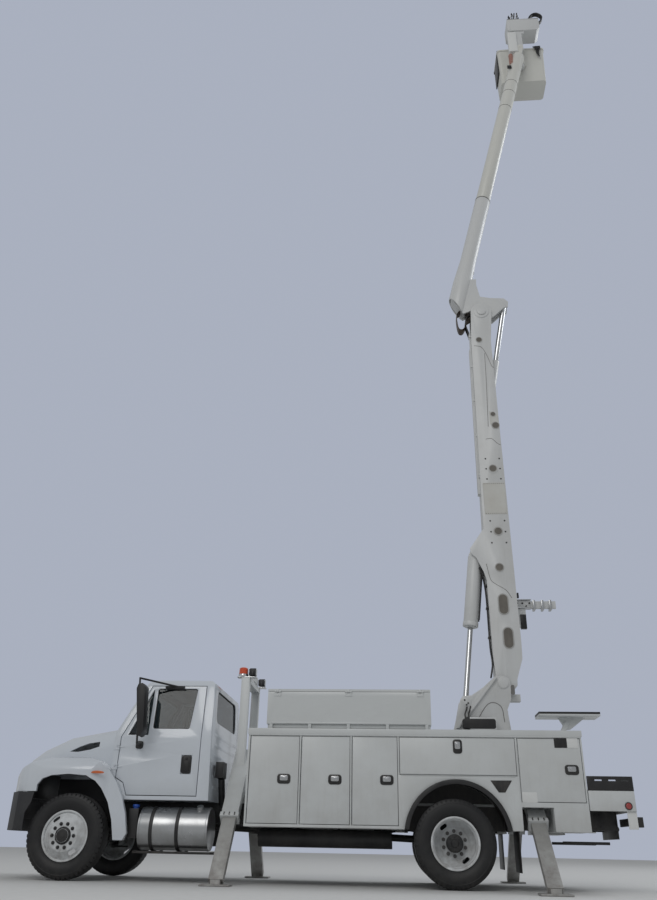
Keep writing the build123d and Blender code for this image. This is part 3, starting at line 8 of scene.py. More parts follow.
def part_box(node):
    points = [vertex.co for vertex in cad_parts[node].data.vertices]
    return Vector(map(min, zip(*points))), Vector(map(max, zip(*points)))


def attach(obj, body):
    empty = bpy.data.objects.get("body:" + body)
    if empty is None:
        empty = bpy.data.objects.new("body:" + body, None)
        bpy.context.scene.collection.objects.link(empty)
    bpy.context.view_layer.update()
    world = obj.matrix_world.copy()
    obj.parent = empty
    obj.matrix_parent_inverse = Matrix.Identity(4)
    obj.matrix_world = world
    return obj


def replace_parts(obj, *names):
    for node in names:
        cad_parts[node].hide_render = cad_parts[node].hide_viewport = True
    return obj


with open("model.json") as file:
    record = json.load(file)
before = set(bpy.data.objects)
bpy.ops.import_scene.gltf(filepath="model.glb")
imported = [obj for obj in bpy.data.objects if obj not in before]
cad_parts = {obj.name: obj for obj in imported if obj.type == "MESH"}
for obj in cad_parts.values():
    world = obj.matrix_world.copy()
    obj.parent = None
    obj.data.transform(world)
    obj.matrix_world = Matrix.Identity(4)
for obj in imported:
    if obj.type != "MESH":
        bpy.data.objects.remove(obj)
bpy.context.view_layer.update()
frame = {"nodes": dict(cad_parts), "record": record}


# Camera, floor and daylight.
# The camera stands low beside the truck and looks up the boom, under an even overcast sky.
# The floor is one pale sheet that keeps the truck's shadow.
rim_low, rim_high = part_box("rim_front_left")
axle_x = (rim_low[0] + rim_high[0]) / 2
axle_z = (rim_low[2] + rim_high[2]) / 2
camera_place = Vector((axle_x - 4.33, 12.12, 0.43))
camera_yaw = math.radians(5.05)
camera_pitch = math.radians(26.87)
camera_roll = math.radians(1.19)
focal_pixels = 785.6
picture_height = 900.0
centre_shift_pixels = 3.3
sensor = 36.0
sky_seen = (0.40, 0.435, 0.52, 1.0)
sky_light = (0.93, 0.96, 1.0, 1.0)
sky_strength = 0.40
floor_radius = 70.0
floor_drop = 0.002
floor_tones = ((0.60, 0.60, 0.59, 1.0), (0.70, 0.70, 0.69, 1.0))


def link(thing):
    """Puts an object into the scene."""
    bpy.context.scene.collection.objects.link(thing)


def aim_camera():
    """Makes the camera that stands where the photograph was taken."""
    data = bpy.data.cameras.new("camera")
    data.sensor_fit = "VERTICAL"
    data.sensor_height = sensor
    data.lens = focal_pixels / picture_height * sensor
    data.shift_x = -centre_shift_pixels / picture_height
    data.clip_end = 200.0
    eye = bpy.data.objects.new("camera", data)
    link(eye)
    ahead = Vector((
        math.sin(camera_yaw) * math.cos(camera_pitch),
        -math.cos(camera_yaw) * math.cos(camera_pitch),
        math.sin(camera_pitch),
    ))
    level = Vector((-math.cos(camera_yaw), -math.sin(camera_yaw), 0.0))
    up = level.cross(ahead)
    turn_c, turn_s = math.cos(camera_roll), math.sin(camera_roll)
    right = turn_c * level + turn_s * up
    top = -turn_s * level + turn_c * up
    turn = Matrix((right, top, -ahead)).transposed().to_4x4()
    eye.matrix_world = Matrix.Translation(camera_place) @ turn
    bpy.context.scene.camera = eye


def wire(tree, kind, settings=None, **inputs):
    """Adds a shader or geometry node; inputs are values or sockets by socket name."""
    made = tree.nodes.new(kind)
    for name, value in (settings or {}).items():
        setattr(made, name, value)
    for name, value in inputs.items():
        label = name.replace("_", " ")
        sockets = [socket for socket in made.inputs if socket.name == label and socket.enabled]
        socket = sockets[0] if sockets else made.inputs[int(name[1:])]
        if isinstance(value, bpy.types.NodeSocket):
            tree.links.new(value, socket)
        else:
            socket.default_value = value
    return made


def light_sky():
    """An even overcast sky that the camera sees as a pale blue grey."""
    world = bpy.data.worlds.new("sky")
    bpy.context.scene.world = world
    world.use_nodes = True
    tree = world.node_tree
    tree.nodes.clear()
    path = wire(tree, "ShaderNodeLightPath")
    seen = wire(tree, "ShaderNodeBackground", Color=sky_seen, Strength=1.0).outputs[0]
    lit = wire(tree, "ShaderNodeBackground", Color=sky_light, Strength=sky_strength).outputs[0]
    mix = wire(tree, "ShaderNodeMixShader", _0=path.outputs["Is Camera Ray"], _1=lit, _2=seen)
    wire(tree, "ShaderNodeOutputWorld", _0=mix.outputs[0])


def hang_lamp(name, place, target, size, watts, colour):
    """A large soft panel that shines from one place towards another."""
    data = bpy.data.lights.new(name, "AREA")
    data.shape = "DISK"
    data.size = size
    data.energy = watts
    data.color = colour
    lamp = bpy.data.objects.new(name, data)
    link(lamp)
    away = Vector(place) - Vector(target)
    lamp.matrix_world = Matrix.Translation(place) @ away.to_track_quat("Z", "Y").to_matrix().to_4x4()


def noise(tree, place, scale, detail, roughness):
    """Cloudy noise over a surface."""
    made = wire(tree, "ShaderNodeTexNoise", Vector=place, Scale=scale, Detail=detail, Roughness=roughness)
    return made.outputs["Fac"]


def mixed(tree, mask, first, second):
    """Mixes two colours by a mask."""
    return wire(tree, "ShaderNodeMix", {"data_type": "RGBA"}, Factor=mask, _6=first, _7=second).outputs[2]


def lay_floor():
    """A pale round floor far wider than the truck."""
    mesh = bpy.data.meshes.new("floor")
    form = bmesh.new()
    bmesh.ops.create_circle(form, cap_ends=True, radius=floor_radius, segments=96)
    form.to_mesh(mesh)
    form.free()
    floor = bpy.data.objects.new("floor", mesh)
    link(floor)
    material = bpy.data.materials.new("pale_floor")
    material.use_nodes = True
    tree = material.node_tree
    place = wire(tree, "ShaderNodeTexCoord").outputs["Object"]
    skin = tree.nodes["Principled BSDF"]
    tree.links.new(mixed(tree, noise(tree, place, 9.0, 6.0, 0.5), *floor_tones), skin.inputs["Base Color"])
    skin.inputs["Roughness"].default_value = 0.9
    mesh.materials.append(material)
    floor.location = (0.0, 0.0, -floor_drop)


bpy.context.scene.view_settings.view_transform = "Standard"
aim_camera()
light_sky()
hang_lamp("front_panel", (6.0, 22.0, 18.0), (-1.0, 0.0, 4.0), 16.0, 1500.0, (1.0, 0.985, 0.96))
hang_lamp("rear_panel", (-20.0, -8.0, 20.0), (-1.0, 0.0, 6.0), 14.0, 1900.0, (0.93, 0.96, 1.0))
lay_floor()


# Frame rails, axles and running gear.
# Pressed channels, castings and leaf springs in black chassis paint, dulled by road film.
# The shared road film group is made here, because every painted or bare metal piece carries it.
def grow(tree, value, start, end):
    """A mask that grows from none to full between two values."""
    made = wire(tree, "ShaderNodeMapRange", {"clamp": True}, Value=value, From_Min=start, From_Max=end)
    return made.outputs["Result"]


def work(tree, operation, *values, clamp=False):
    """A sum or a product of sockets and numbers."""
    inputs = {"_%d" % place: value for place, value in enumerate(values)}
    return wire(tree, "ShaderNodeMath", {"operation": operation, "use_clamp": clamp}, **inputs).outputs[0]


def make_road_film():
    """Dust and run-down marks that gather low on a surface, as one shared group."""
    group = bpy.data.node_groups.new("road_film", "ShaderNodeTree")
    sockets = (
        ("Colour", "NodeSocketColor", (0.8, 0.8, 0.8, 1.0)),
        ("Film", "NodeSocketColor", (0.30, 0.27, 0.23, 1.0)),
        ("Amount", "NodeSocketFloat", 0.2),
        ("Low", "NodeSocketFloat", 0.0),
        ("High", "NodeSocketFloat", 1.2),
        ("Scale", "NodeSocketFloat", 3.0),
        ("Gloss", "NodeSocketFloat", 0.35),
        ("Dull", "NodeSocketFloat", 0.7),
    )
    for name, kind, value in sockets:
        made = group.interface.new_socket(name=name, in_out="INPUT", socket_type=kind)
        made.default_value = value
    for name, kind in (("Colour", "NodeSocketColor"), ("Roughness", "NodeSocketFloat"),
                       ("Height", "NodeSocketFloat")):
        group.interface.new_socket(name=name, in_out="OUTPUT", socket_type=kind)
    given = wire(group, "NodeGroupInput").outputs
    place = wire(group, "ShaderNodeTexCoord").outputs["Object"]
    height = wire(group, "ShaderNodeSeparateXYZ", Vector=place).outputs["Z"]
    near_ground = grow(group, height, given["High"], given["Low"])
    cloud = noise(group, place, given["Scale"], 8.0, 0.62)
    stretched = wire(group, "ShaderNodeMapping", Vector=place, Scale=(9.0, 9.0, 0.8)).outputs[0]
    runs = grow(group, noise(group, stretched, 2.2, 5.0, 0.6), 0.50, 0.78)
    clouds = grow(group, cloud, 0.38, 0.72)
    low_part = work(group, "MULTIPLY_ADD", near_ground, 1.4, 0.10)
    marks = work(group, "MULTIPLY_ADD", runs, 0.35, clouds)
    mask = work(group, "MULTIPLY", work(group, "MULTIPLY", marks, low_part), given["Amount"], clamp=True)
    tint = mixed(group, mask, given["Colour"], given["Film"])
    rough = wire(group, "ShaderNodeMix", {"data_type": "FLOAT"}, Factor=mask, _2=given["Gloss"],
                 _3=given["Dull"])
    wire(group, "NodeGroupOutput", Colour=tint, Roughness=rough.outputs[0], Height=cloud)
    return group


road_film = make_road_film()


def coat(name, colour, gloss=0.3, dull=0.7, amount=0.25, high=1.4, scale=3.0, metallic=0.0, clear=0.0,
         film=(0.30, 0.27, 0.23), bump=0.03, low=0.0):
    """A finish under the shared road film; colour is linear red, green and blue."""
    material = bpy.data.materials.new(name)
    material.use_nodes = True
    tree = material.node_tree
    skin = tree.nodes["Principled BSDF"]
    dust = tree.nodes.new("ShaderNodeGroup")
    dust.node_tree = road_film
    dust.inputs["Colour"].default_value = (*colour, 1.0)
    dust.inputs["Film"].default_value = (*film, 1.0)
    for label, value in (("Amount", amount), ("High", high), ("Low", low), ("Scale", scale), ("Gloss", gloss),
                         ("Dull", dull)):
        dust.inputs[label].default_value = value
    tree.links.new(dust.outputs["Colour"], skin.inputs["Base Color"])
    tree.links.new(dust.outputs["Roughness"], skin.inputs["Roughness"])
    lift = wire(tree, "ShaderNodeBump", Strength=bump, Distance=0.004, Height=dust.outputs["Height"])
    tree.links.new(lift.outputs[0], skin.inputs["Normal"])
    skin.inputs["Metallic"].default_value = metallic
    skin.inputs["Coat Weight"].default_value = clear
    skin.inputs["Coat Roughness"].default_value = 0.08
    return material


def body_of_node(node):
    """The body that a node rides on."""
    for body, members in frame["record"]["behaviour"]["bodies"].items():
        if node in members:
            return body
    return "root"


def new_piece(name, form, material):
    """Makes a piece from a form, which is freed."""
    mesh = bpy.data.meshes.new(name)
    form.to_mesh(mesh)
    form.free()
    mesh.materials.append(material)
    piece = bpy.data.objects.new(name, mesh)
    link(piece)
    return piece


def ease_edges(piece, width, rows, smooth):
    """Rounds a piece's sharp edges and smooths its curves."""
    if width > 0:
        edge = piece.modifiers.new("edge", "BEVEL")
        edge.width = width
        edge.segments = rows
        edge.limit_method = "ANGLE"
        edge.angle_limit = math.radians(32)
        eased = bpy.data.meshes.new_from_object(piece.evaluated_get(bpy.context.evaluated_depsgraph_get()))
        piece.modifiers.clear()
        piece.data = eased
    piece.data.shade_smooth()
    piece.data.set_sharp_from_angle(angle=math.radians(smooth))


def refine(node, material, width=0.004, rows=2, smooth=38.0):
    """Replaces a node by its own solid with merged corners, eased edges and smooth curves."""
    form = bmesh.new()
    form.from_mesh(frame["nodes"][node].data)
    bmesh.ops.remove_doubles(form, verts=form.verts, dist=0.00002)
    bmesh.ops.dissolve_limit(form, angle_limit=math.radians(0.6), verts=form.verts, edges=form.edges)
    for face in form.faces:
        face.material_index = 0
    piece = new_piece("skin_" + node, form, material)
    ease_edges(piece, width, rows, smooth)
    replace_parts(piece, node)
    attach(piece, body_of_node(node))


def dress(node, material):
    """Gives a node that stays as it is a better material."""
    for slot in frame["nodes"][node].material_slots:
        slot.material = material


def put_block(form, low, high):
    """Adds a box between two corners, in either order."""
    middle = (Vector(low) + Vector(high)) / 2
    size = [abs(b - a) for a, b in zip(low, high)]
    place = Matrix.Translation(middle) @ Matrix.Diagonal((*size, 1.0))
    bmesh.ops.create_cube(form, size=1.0, matrix=place)


def put_bar(form, start, end, radius, sides=24, taper=1.0):
    """Adds a round bar, or a cone where it tapers."""
    start, end = Vector(start), Vector(end)
    along = end - start
    place = Matrix.Translation((start + end) / 2) @ along.to_track_quat("Z", "Y").to_matrix().to_4x4()
    bmesh.ops.create_cone(form, cap_ends=True, segments=sides, radius1=radius, radius2=radius * taper,
                          depth=along.length, matrix=place)


def put_prism(form, outline, low, high, axis="Y"):
    """Adds a closed outline drawn out along an axis: the outline lies in the plane of the other two."""
    ends = []
    for depth in (low, high):
        ring = []
        for a, b in outline:
            corner = {"X": (depth, a, b), "Y": (a, depth, b), "Z": (a, b, depth)}[axis]
            ring.append(form.verts.new(corner))
        ends.append(ring)
    form.faces.new(ends[0])
    form.faces.new(reversed(ends[1]))
    count = len(outline)
    for i in range(count):
        j = (i + 1) % count
        form.faces.new((ends[0][j], ends[0][i], ends[1][i], ends[1][j]))


def put_pipe(form, points, radius, sides=10, closed=False, wide=1.0):
    """Adds a tube along a path; a wide above one makes it a flat band across Y."""
    path = [Vector(point) for point in points]
    count = len(path)
    rings = []
    for i, point in enumerate(path):
        before = path[(i - 1) % count] if closed or i > 0 else point
        after = path[(i + 1) % count] if closed or i < count - 1 else point
        along = (after - before).normalized()
        side = Vector((0.0, 1.0, 0.0))
        if abs(along.dot(side)) > 0.95:
            side = Vector((1.0, 0.0, 0.0))
        across = (side - along * side.dot(along)).normalized()
        up = along.cross(across)
        ring = []
        for step in range(sides):
            angle = 2.0 * math.pi * step / sides
            ring.append(form.verts.new(point + across * (radius * wide * math.cos(angle))
                                       + up * (radius * math.sin(angle))))
        rings.append(ring)
    for i in range(count if closed else count - 1):
        a, b = rings[i], rings[(i + 1) % count]
        for step in range(sides):
            other = (step + 1) % sides
            form.faces.new((a[step], a[other], b[other], b[step]))
    if not closed:
        form.faces.new(reversed(rings[0]))
        form.faces.new(rings[-1])


def curved(points, steps=5):
    """A smooth path through a few points."""
    path = [Vector(point) for point in points]
    ends = [path[0] * 2 - path[1]] + path + [path[-1] * 2 - path[-2]]
    smooth = []
    for a, b, c, d in zip(ends, ends[1:], ends[2:], ends[3:]):
        for step in range(steps):
            t = step / steps
            smooth.append(0.5 * (2 * b + (c - a) * t + (2 * a - 5 * b + 4 * c - d) * t * t
                                 + (3 * b - a - 3 * c + d) * t * t * t))
    return smooth + [path[-1]]


def rounded(centre, size, radius, steps=4):
    """A rectangle's outline with round corners."""
    outline = []
    for turn, (across, up) in enumerate(((1, 1), (-1, 1), (-1, -1), (1, -1))):
        for step in range(steps + 1):
            angle = math.pi / 2 * (turn + step / steps)
            outline.append((centre[0] + across * (size[0] / 2 - radius) + radius * math.cos(angle),
                            centre[1] + up * (size[1] / 2 - radius) + radius * math.sin(angle)))
    return outline


def settle(name, form, body, material, ease=0.0, rows=2, smooth=38.0):
    """Makes a finished piece from a form that is drawn from the front axle, and lets it ride a body."""
    bmesh.ops.recalc_face_normals(form, faces=form.faces)
    bmesh.ops.translate(form, vec=(axle_x, 0.0, 0.0), verts=form.verts)
    piece = new_piece(name, form, material)
    ease_edges(piece, ease, rows, smooth)
    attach(piece, body)
    return piece


def make_repeat_tree(name, on_ring):
    """A tree that repeats its geometry round a ring about Y, or along a straight row."""
    tree = bpy.data.node_groups.new(name, "GeometryNodeTree")
    for label, kind in (("Geometry", "Geometry"), ("Count", "Int"), ("Centre", "Vector"), ("Step", "Vector"),
                        ("Phase", "Float"), ("Finish", "Material")):
        tree.interface.new_socket(name=label, in_out="INPUT", socket_type="NodeSocket" + kind)
    tree.interface.new_socket(name="Geometry", in_out="OUTPUT", socket_type="NodeSocketGeometry")
    given = wire(tree, "NodeGroupInput").outputs
    line = wire(tree, "GeometryNodeMeshLine", Count=given["Count"], Offset=(0.0, 0.0, 0.0))
    placed = wire(tree, "GeometryNodeInstanceOnPoints", Points=line.outputs[0], Instance=given["Geometry"])
    if on_ring:
        index = wire(tree, "GeometryNodeInputIndex").outputs[0]
        share = work(tree, "DIVIDE", index, given["Count"])
        turn = work(tree, "MULTIPLY_ADD", share, 2.0 * math.pi, given["Phase"])
        tree.links.new(wire(tree, "ShaderNodeCombineXYZ", Y=turn).outputs[0], placed.inputs["Rotation"])
    else:
        tree.links.new(given["Step"], line.inputs["Offset"])
    real = wire(tree, "GeometryNodeRealizeInstances", Geometry=placed.outputs[0])
    set_off = wire(tree, "GeometryNodeTransform", Geometry=real.outputs[0], Translation=given["Centre"])
    finished = wire(tree, "GeometryNodeSetMaterial", Geometry=set_off.outputs[0], Material=given["Finish"])
    wire(tree, "NodeGroupOutput", _0=finished.outputs[0])
    return tree


ring_tree = make_repeat_tree("ring_of_parts", True)
row_tree = make_repeat_tree("row_of_parts", False)


def repeat(form, part, tree, finish, count, centre=(0.0, 0.0, 0.0), step=(0.0, 0.0, 0.0), phase=0.0):
    """Adds copies of a small part to a form, in a ring or a row, and frees the part."""
    bmesh.ops.recalc_face_normals(part, faces=part.faces)
    mesh = bpy.data.meshes.new("part")
    part.to_mesh(mesh)
    part.free()
    holder = bpy.data.objects.new("part", mesh)
    link(holder)
    modifier = holder.modifiers.new("repeat", "NODES")
    modifier.node_group = tree
    values = {"Count": count, "Centre": centre, "Step": step, "Phase": phase, "Finish": finish}
    for item in tree.interface.items_tree:
        if item.in_out == "INPUT" and item.name in values:
            modifier[item.identifier] = values[item.name]
    result = bpy.data.meshes.new_from_object(holder.evaluated_get(bpy.context.evaluated_depsgraph_get()))
    form.from_mesh(result)
    bpy.data.objects.remove(holder)
    bpy.data.meshes.remove(mesh)
    bpy.data.meshes.remove(result)


def bolt(radius, height, facing=1):
    """A hexagon head with a washer, standing on the plane Y = 0."""
    part = bmesh.new()
    put_bar(part, (0, 0, 0), (0, facing * height * 0.3, 0), radius * 1.35, 14)
    put_bar(part, (0, 0, 0), (0, facing * height, 0), radius, 6, 0.94)
    return part


def moved(part, place):
    """A part set at a place."""
    bmesh.ops.translate(part, vec=place, verts=part.verts)
    return part


chassis_paint = coat("chassis_paint", (0.012, 0.012, 0.013), gloss=0.42, dull=0.85, amount=0.6, high=1.3,
                     film=(0.10, 0.09, 0.08))
for node in ("frame_rails", "front_axle", "rear_axle", "engine"):
    refine(node, chassis_paint, 0.004)
for side in ("left", "right"):
    refine("knuckle_" + side, chassis_paint, 0.003)

rail_face_y = 0.4302
bolt_rows = (0.745, 0.905)
bolts_a_row, bolt_pitch = 34, 0.218
rail_bolts = bmesh.new()
for facing in (1, -1):
    for row_z in bolt_rows:
        repeat(rail_bolts, bolt(0.009, 0.009, facing), row_tree, chassis_paint, bolts_a_row,
               centre=(-6.95, facing * rail_face_y, row_z), step=(bolt_pitch, 0, 0))
settle("rail_bolts", rail_bolts, "root", chassis_paint)

core_front, fin_count, fin_pitch = 0.855, 24, 0.013
radiator = bmesh.new()
put_block(radiator, (0.80, -0.40, 0.98), (core_front, 0.40, 1.32))
fin = bmesh.new()
put_block(fin, (core_front, -0.39, 1.0), (core_front + 0.004, 0.39, 1.004))
repeat(radiator, fin, row_tree, chassis_paint, fin_count, step=(0, 0, fin_pitch))
settle("radiator", radiator, "root", chassis_paint, ease=0.006)


# Wheels and tyres.
# White steel disc wheels, single in front and twin at the back, on black cast hubs.
# Each is held by ten nuts; the tyres are highway tyres with ribs and notched shoulders.
rubber = coat("tyre_rubber", (0.008, 0.008, 0.009), gloss=0.5, dull=0.85, amount=0.22, high=0.95,
              film=(0.075, 0.07, 0.062), scale=7.0, bump=0.06)
rim_paint = coat("rim_paint", (0.66, 0.68, 0.69), gloss=0.33, dull=0.8, amount=0.55, high=1.2,
                 film=(0.16, 0.14, 0.12), scale=9.0)
nut_steel = coat("nut_steel", (0.10, 0.10, 0.10), gloss=0.4, dull=0.7, amount=0.3, high=1.2, metallic=0.5)
hub_black = coat("hub_black", (0.010, 0.010, 0.011), gloss=0.4, dull=0.8, amount=0.5, high=1.2,
                 film=(0.07, 0.065, 0.06), scale=9.0)
tyre_low, tyre_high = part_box("tyre_front_left")
tyre_radius = (tyre_high[2] - tyre_low[2]) / 2 - 0.0005
tyre_half = (tyre_high[1] - tyre_low[1]) / 2
tyre_turns = 96
shoulder_blocks = 52
block_half_width = 0.019
twin_rim_low, twin_rim_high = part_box("rim_rear_left")
rear_x = (twin_rim_low[0] + twin_rim_high[0]) / 2 - axle_x
front_face = rim_high[1] - 0.028
rear_face = twin_rim_high[1] - 0.273
nut_radius, nut_height, nut_circle = 0.0165, 0.026, 0.1425
# columns: start and end outwards from the disc's face, radius, facets, taper
front_hub = (
    (-0.006, 0.012, 0.106, 40, 0.96),
    (0.010, 0.0285, 0.084, 36, 0.93),
    (0.026, 0.031, 0.030, 20, 0.90),
)
rear_hub = (
    (-0.004, 0.1105, 0.1065, 40, 1.0),
    (0.108, 0.118, 0.096, 36, 0.97),
    (0.117, 0.126, 0.050, 30, 0.85),
)
both_sides = (("left", 1), ("right", -1))


def tyre_profile():
    """Half of the tyre's section, from the middle of the tread to the bead: across, out from the axle."""
    tread = tyre_radius
    return (
        (0.0, tread), (0.011, tread), (0.014, tread - 0.012), (0.023, tread - 0.012), (0.026, tread - 0.0005),
        (0.051, tread - 0.0015), (0.054, tread - 0.013), (0.063, tread - 0.013), (0.066, tread - 0.0025),
        (0.090, tread - 0.0045), (0.092, tread - 0.017), (0.113, tread - 0.020),
        (tyre_half - 0.012, tread - 0.038), (tyre_half - 0.005, tread - 0.056),
        (tyre_half - 0.0065, tread - 0.060), (tyre_half - 0.0015, tread - 0.086),
        (tyre_half - 0.0005, 0.400), (tyre_half - 0.003, 0.368), (tyre_half - 0.0045, 0.364),
        (tyre_half - 0.009, 0.338), (tyre_half - 0.011, 0.335), (tyre_half - 0.020, 0.315), (0.1055, 0.3045),
        (0.1050, 0.291),
    )


def put_tyre(form, centre):
    """Adds one tyre, turned about Y, with its shoulder blocks."""
    half = tyre_profile()
    section = [(-a, r) for a, r in reversed(half)] + list(half[1:])
    rings = []
    for turn in range(tyre_turns):
        angle = 2.0 * math.pi * turn / tyre_turns
        ahead, up = math.sin(angle), math.cos(angle)
        rings.append([form.verts.new((centre[0] + r * ahead, centre[1] + a, centre[2] + r * up))
                      for a, r in section])
    for one, two in zip(rings, rings[1:] + rings[:1]):
        for i in range(len(section)):
            j = (i + 1) % len(section)
            form.faces.new((one[i], two[i], two[j], one[j]))
    for facing in (1, -1):
        block = bmesh.new()
        section = ((0.0935, tyre_radius - 0.020), (0.0935, tyre_radius - 0.0045),
                   (0.112, tyre_radius - 0.0065),
                   (tyre_half - 0.0125, tyre_radius - 0.030), (tyre_half - 0.0075, tyre_radius - 0.047),
                   (tyre_half - 0.014, tyre_radius - 0.047), (0.112, tyre_radius - 0.024))
        outline = [(facing * a, r) for a, r in section]
        put_prism(block, outline, -block_half_width, block_half_width, "X")
        repeat(form, block, ring_tree, rubber, shoulder_blocks, centre=centre, phase=facing * 0.02)


def make_hub(x, facing, face, steps, bolt_size, bolt_circle, bolt_count, bolt_seat):
    """A stepped hub with a ring of small bolts round its cap."""
    hub = bmesh.new()
    for start, end, radius, facets, taper in steps:
        put_bar(hub, (x, facing * (face + start), axle_z), (x, facing * (face + end), axle_z), radius,
                facets, taper)
    ring = moved(bolt(*bolt_size, facing), (0, 0, bolt_circle))
    repeat(hub, ring, ring_tree, hub_black, bolt_count, centre=(x, facing * (face + bolt_seat), axle_z))
    return hub


for side, facing in both_sides:
    front_wheel, rear_wheels = "front_wheel_" + side, "rear_wheels_" + side
    front = bmesh.new()
    put_tyre(front, (0.0, facing * (tyre_low[1] + tyre_high[1]) / 2, axle_z))
    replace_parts(settle("tyre_skin_front_" + side, front, front_wheel, rubber, smooth=30.0),
                "tyre_front_" + side)
    twin_low, twin_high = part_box("tyre_rear_" + side)
    rear = bmesh.new()
    for y in (twin_low[1] + tyre_half, twin_high[1] - tyre_half):
        put_tyre(rear, (rear_x, y, axle_z))
    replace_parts(settle("tyre_skin_rear_" + side, rear, rear_wheels, rubber, smooth=30.0),
                "tyre_rear_" + side)
    refine("rim_front_" + side, rim_paint, 0.002)
    refine("rim_rear_" + side, rim_paint, 0.002)

    hub = make_hub(0, facing, front_face, front_hub, (0.008, 0.008), 0.095, 6, 0.012)
    nut = moved(bolt(nut_radius, nut_height, facing), (0, 0, nut_circle))
    repeat(hub, nut, ring_tree, hub_black, 10, centre=(0, facing * front_face, axle_z), phase=0.314)
    settle("hub_front_" + side, hub, front_wheel, hub_black, ease=0.002)

    hub = make_hub(rear_x, facing, rear_face, rear_hub, (0.009, 0.010), 0.078, 8, 0.118)
    settle("hub_rear_" + side, hub, rear_wheels, hub_black, ease=0.002)
    nuts = bmesh.new()
    nut = moved(bolt(nut_radius, nut_height, facing), (0, 0, nut_circle))
    put_bar(nut, (0, facing * 0.02, nut_circle), (0, facing * 0.040, nut_circle), 0.010, 12, 0.9)
    repeat(nuts, nut, ring_tree, nut_steel, 10, centre=(rear_x, facing * rear_face, axle_z))
    settle("nuts_rear_" + side, nuts, rear_wheels, nut_steel)


# Cab, its doors and glazing.
# A welded steel cab in white enamel with pressed ribs in its back, and flush doors on outside hinges.
# The glass is tinted and darkened further with painted shade from inside the cab; it sits in black rubber,
# and the mirrors hang on black looped tubes.
cab_paint = coat("cab_paint", (0.63, 0.67, 0.72), gloss=0.2, dull=0.6, amount=0.12, high=1.6, clear=0.7,
                 film=(0.32, 0.30, 0.27), bump=0.01)
cab_black = coat("cab_black", (0.012, 0.012, 0.013), gloss=0.42, dull=0.8, amount=0.3, high=2.0,
                 film=(0.09, 0.085, 0.08))
seal_rubber = coat("seal_rubber", (0.008, 0.008, 0.009), gloss=0.5, dull=0.8, amount=0.2, high=3.0,
                   film=(0.08, 0.08, 0.075))
for node in ("cab_shell", "cab_door_left", "cab_door_right"):
    refine(node, cab_paint, 0.006, 3)
for node in ("mirror_left", "mirror_right"):
    refine(node, cab_black, 0.012, 3)
seat_cloth = coat("seat_cloth", (0.035, 0.035, 0.04), gloss=0.8, dull=0.9, amount=0.2, high=3.0)
refine("cab_interior", seat_cloth, 0.02, 3)


def glass(name, colour, roughness=0.03):
    """Tinted glazing, whose colour here also carries painted shade from behind the glass."""
    material = bpy.data.materials.new(name)
    material.use_nodes = True
    skin = material.node_tree.nodes["Principled BSDF"]
    skin.inputs["Base Color"].default_value = (*colour, 1.0)
    skin.inputs["Roughness"].default_value = roughness
    skin.inputs["Transmission Weight"].default_value = 1.0
    skin.inputs["IOR"].default_value = 1.45
    return material


# The glazing colour is a real tint darkened further: painted shade standing for the dark inside of the cab.
cab_glass = glass("cab_glazing_tint_and_shade", (0.16, 0.19, 0.20))
for node in ("cab_glass", "door_glass_left", "door_glass_right"):
    dress(node, cab_glass)


def pane_edges(node, towards):
    """The closed edges of a node's panes on the side that faces a direction."""
    form = bmesh.new()
    form.from_mesh(frame["nodes"][node].data)
    bmesh.ops.remove_doubles(form, verts=form.verts, dist=0.00002)
    form.normal_update()
    kept = [face for face in form.faces if face.normal.dot(towards) > 0.55]
    chosen = set(kept)
    links = {}
    for face in kept:
        for edge in face.edges:
            if sum(other in chosen for other in edge.link_faces) == 1:
                a, b = edge.verts
                links.setdefault(a, []).append(b)
                links.setdefault(b, []).append(a)
    loops = []
    while links:
        start = min(links, key=lambda vert: tuple(round(c, 5) for c in vert.co))
        loop, at, last = [], start, None
        while at in links:
            ahead = [vert for vert in links.pop(at) if vert is not last]
            loop.append(at.co.copy())
            last = at
            ahead = [vert for vert in ahead if vert in links]
            if not ahead:
                break
            at = ahead[0]
        if len(loop) > 5:
            loops.append(loop)
    form.free()
    return loops


def put_seal(form, node, towards, radius):
    """Adds a round rubber bead along the edges of a node's panes, in the form's own frame."""
    for loop in pane_edges(node, Vector(towards)):
        even = [loop[0]]
        for point in loop[1:]:
            if (point - even[-1]).length > 0.004:
                even.append(point)
        centred = [point - Vector((axle_x, 0.0, 0.0)) for point in even]
        put_pipe(form, centred, radius, 8, closed=True)


cab_side = 1.0
door_latch_x = -1.4725
for side, facing in both_sides:
    door = "cab_door_body_" + side
    seal = bmesh.new()
    put_seal(seal, "door_glass_" + side, (0, facing, 0), 0.0105)
    settle("window_seal_" + side, seal, door, seal_rubber, smooth=60)
    dish = bmesh.new()
    put_prism(dish, rounded((door_latch_x, 1.395), (0.135, 0.225), 0.035), facing * 0.972, facing * 1.0035)
    settle("door_handle_dish_" + side, dish, door, cab_black, ease=0.003)
    paddle = bmesh.new()
    put_prism(paddle, rounded((door_latch_x, 1.372), (0.085, 0.125), 0.022), facing * cab_side,
              facing * 1.014)
    put_bar(paddle, (door_latch_x, facing * 1.002, 1.47), (door_latch_x, facing * 1.010, 1.47), 0.018, 18)
    settle("door_handle_" + side, paddle, door, hub_black, ease=0.004, rows=3)
    mount = bmesh.new()
    put_prism(mount, rounded((-0.806, 1.635), (0.10, 0.10), 0.03), facing * cab_side, facing * 1.028)
    settle("mirror_mount_" + side, mount, door, cab_black, ease=0.008, rows=3)
seal = bmesh.new()
put_seal(seal, "cab_glass", (0.8, 0, 0.6), 0.012)
put_seal(seal, "cab_glass", (-1, 0, 0), 0.012)
settle("screen_seals", seal, "root", seal_rubber, smooth=60)


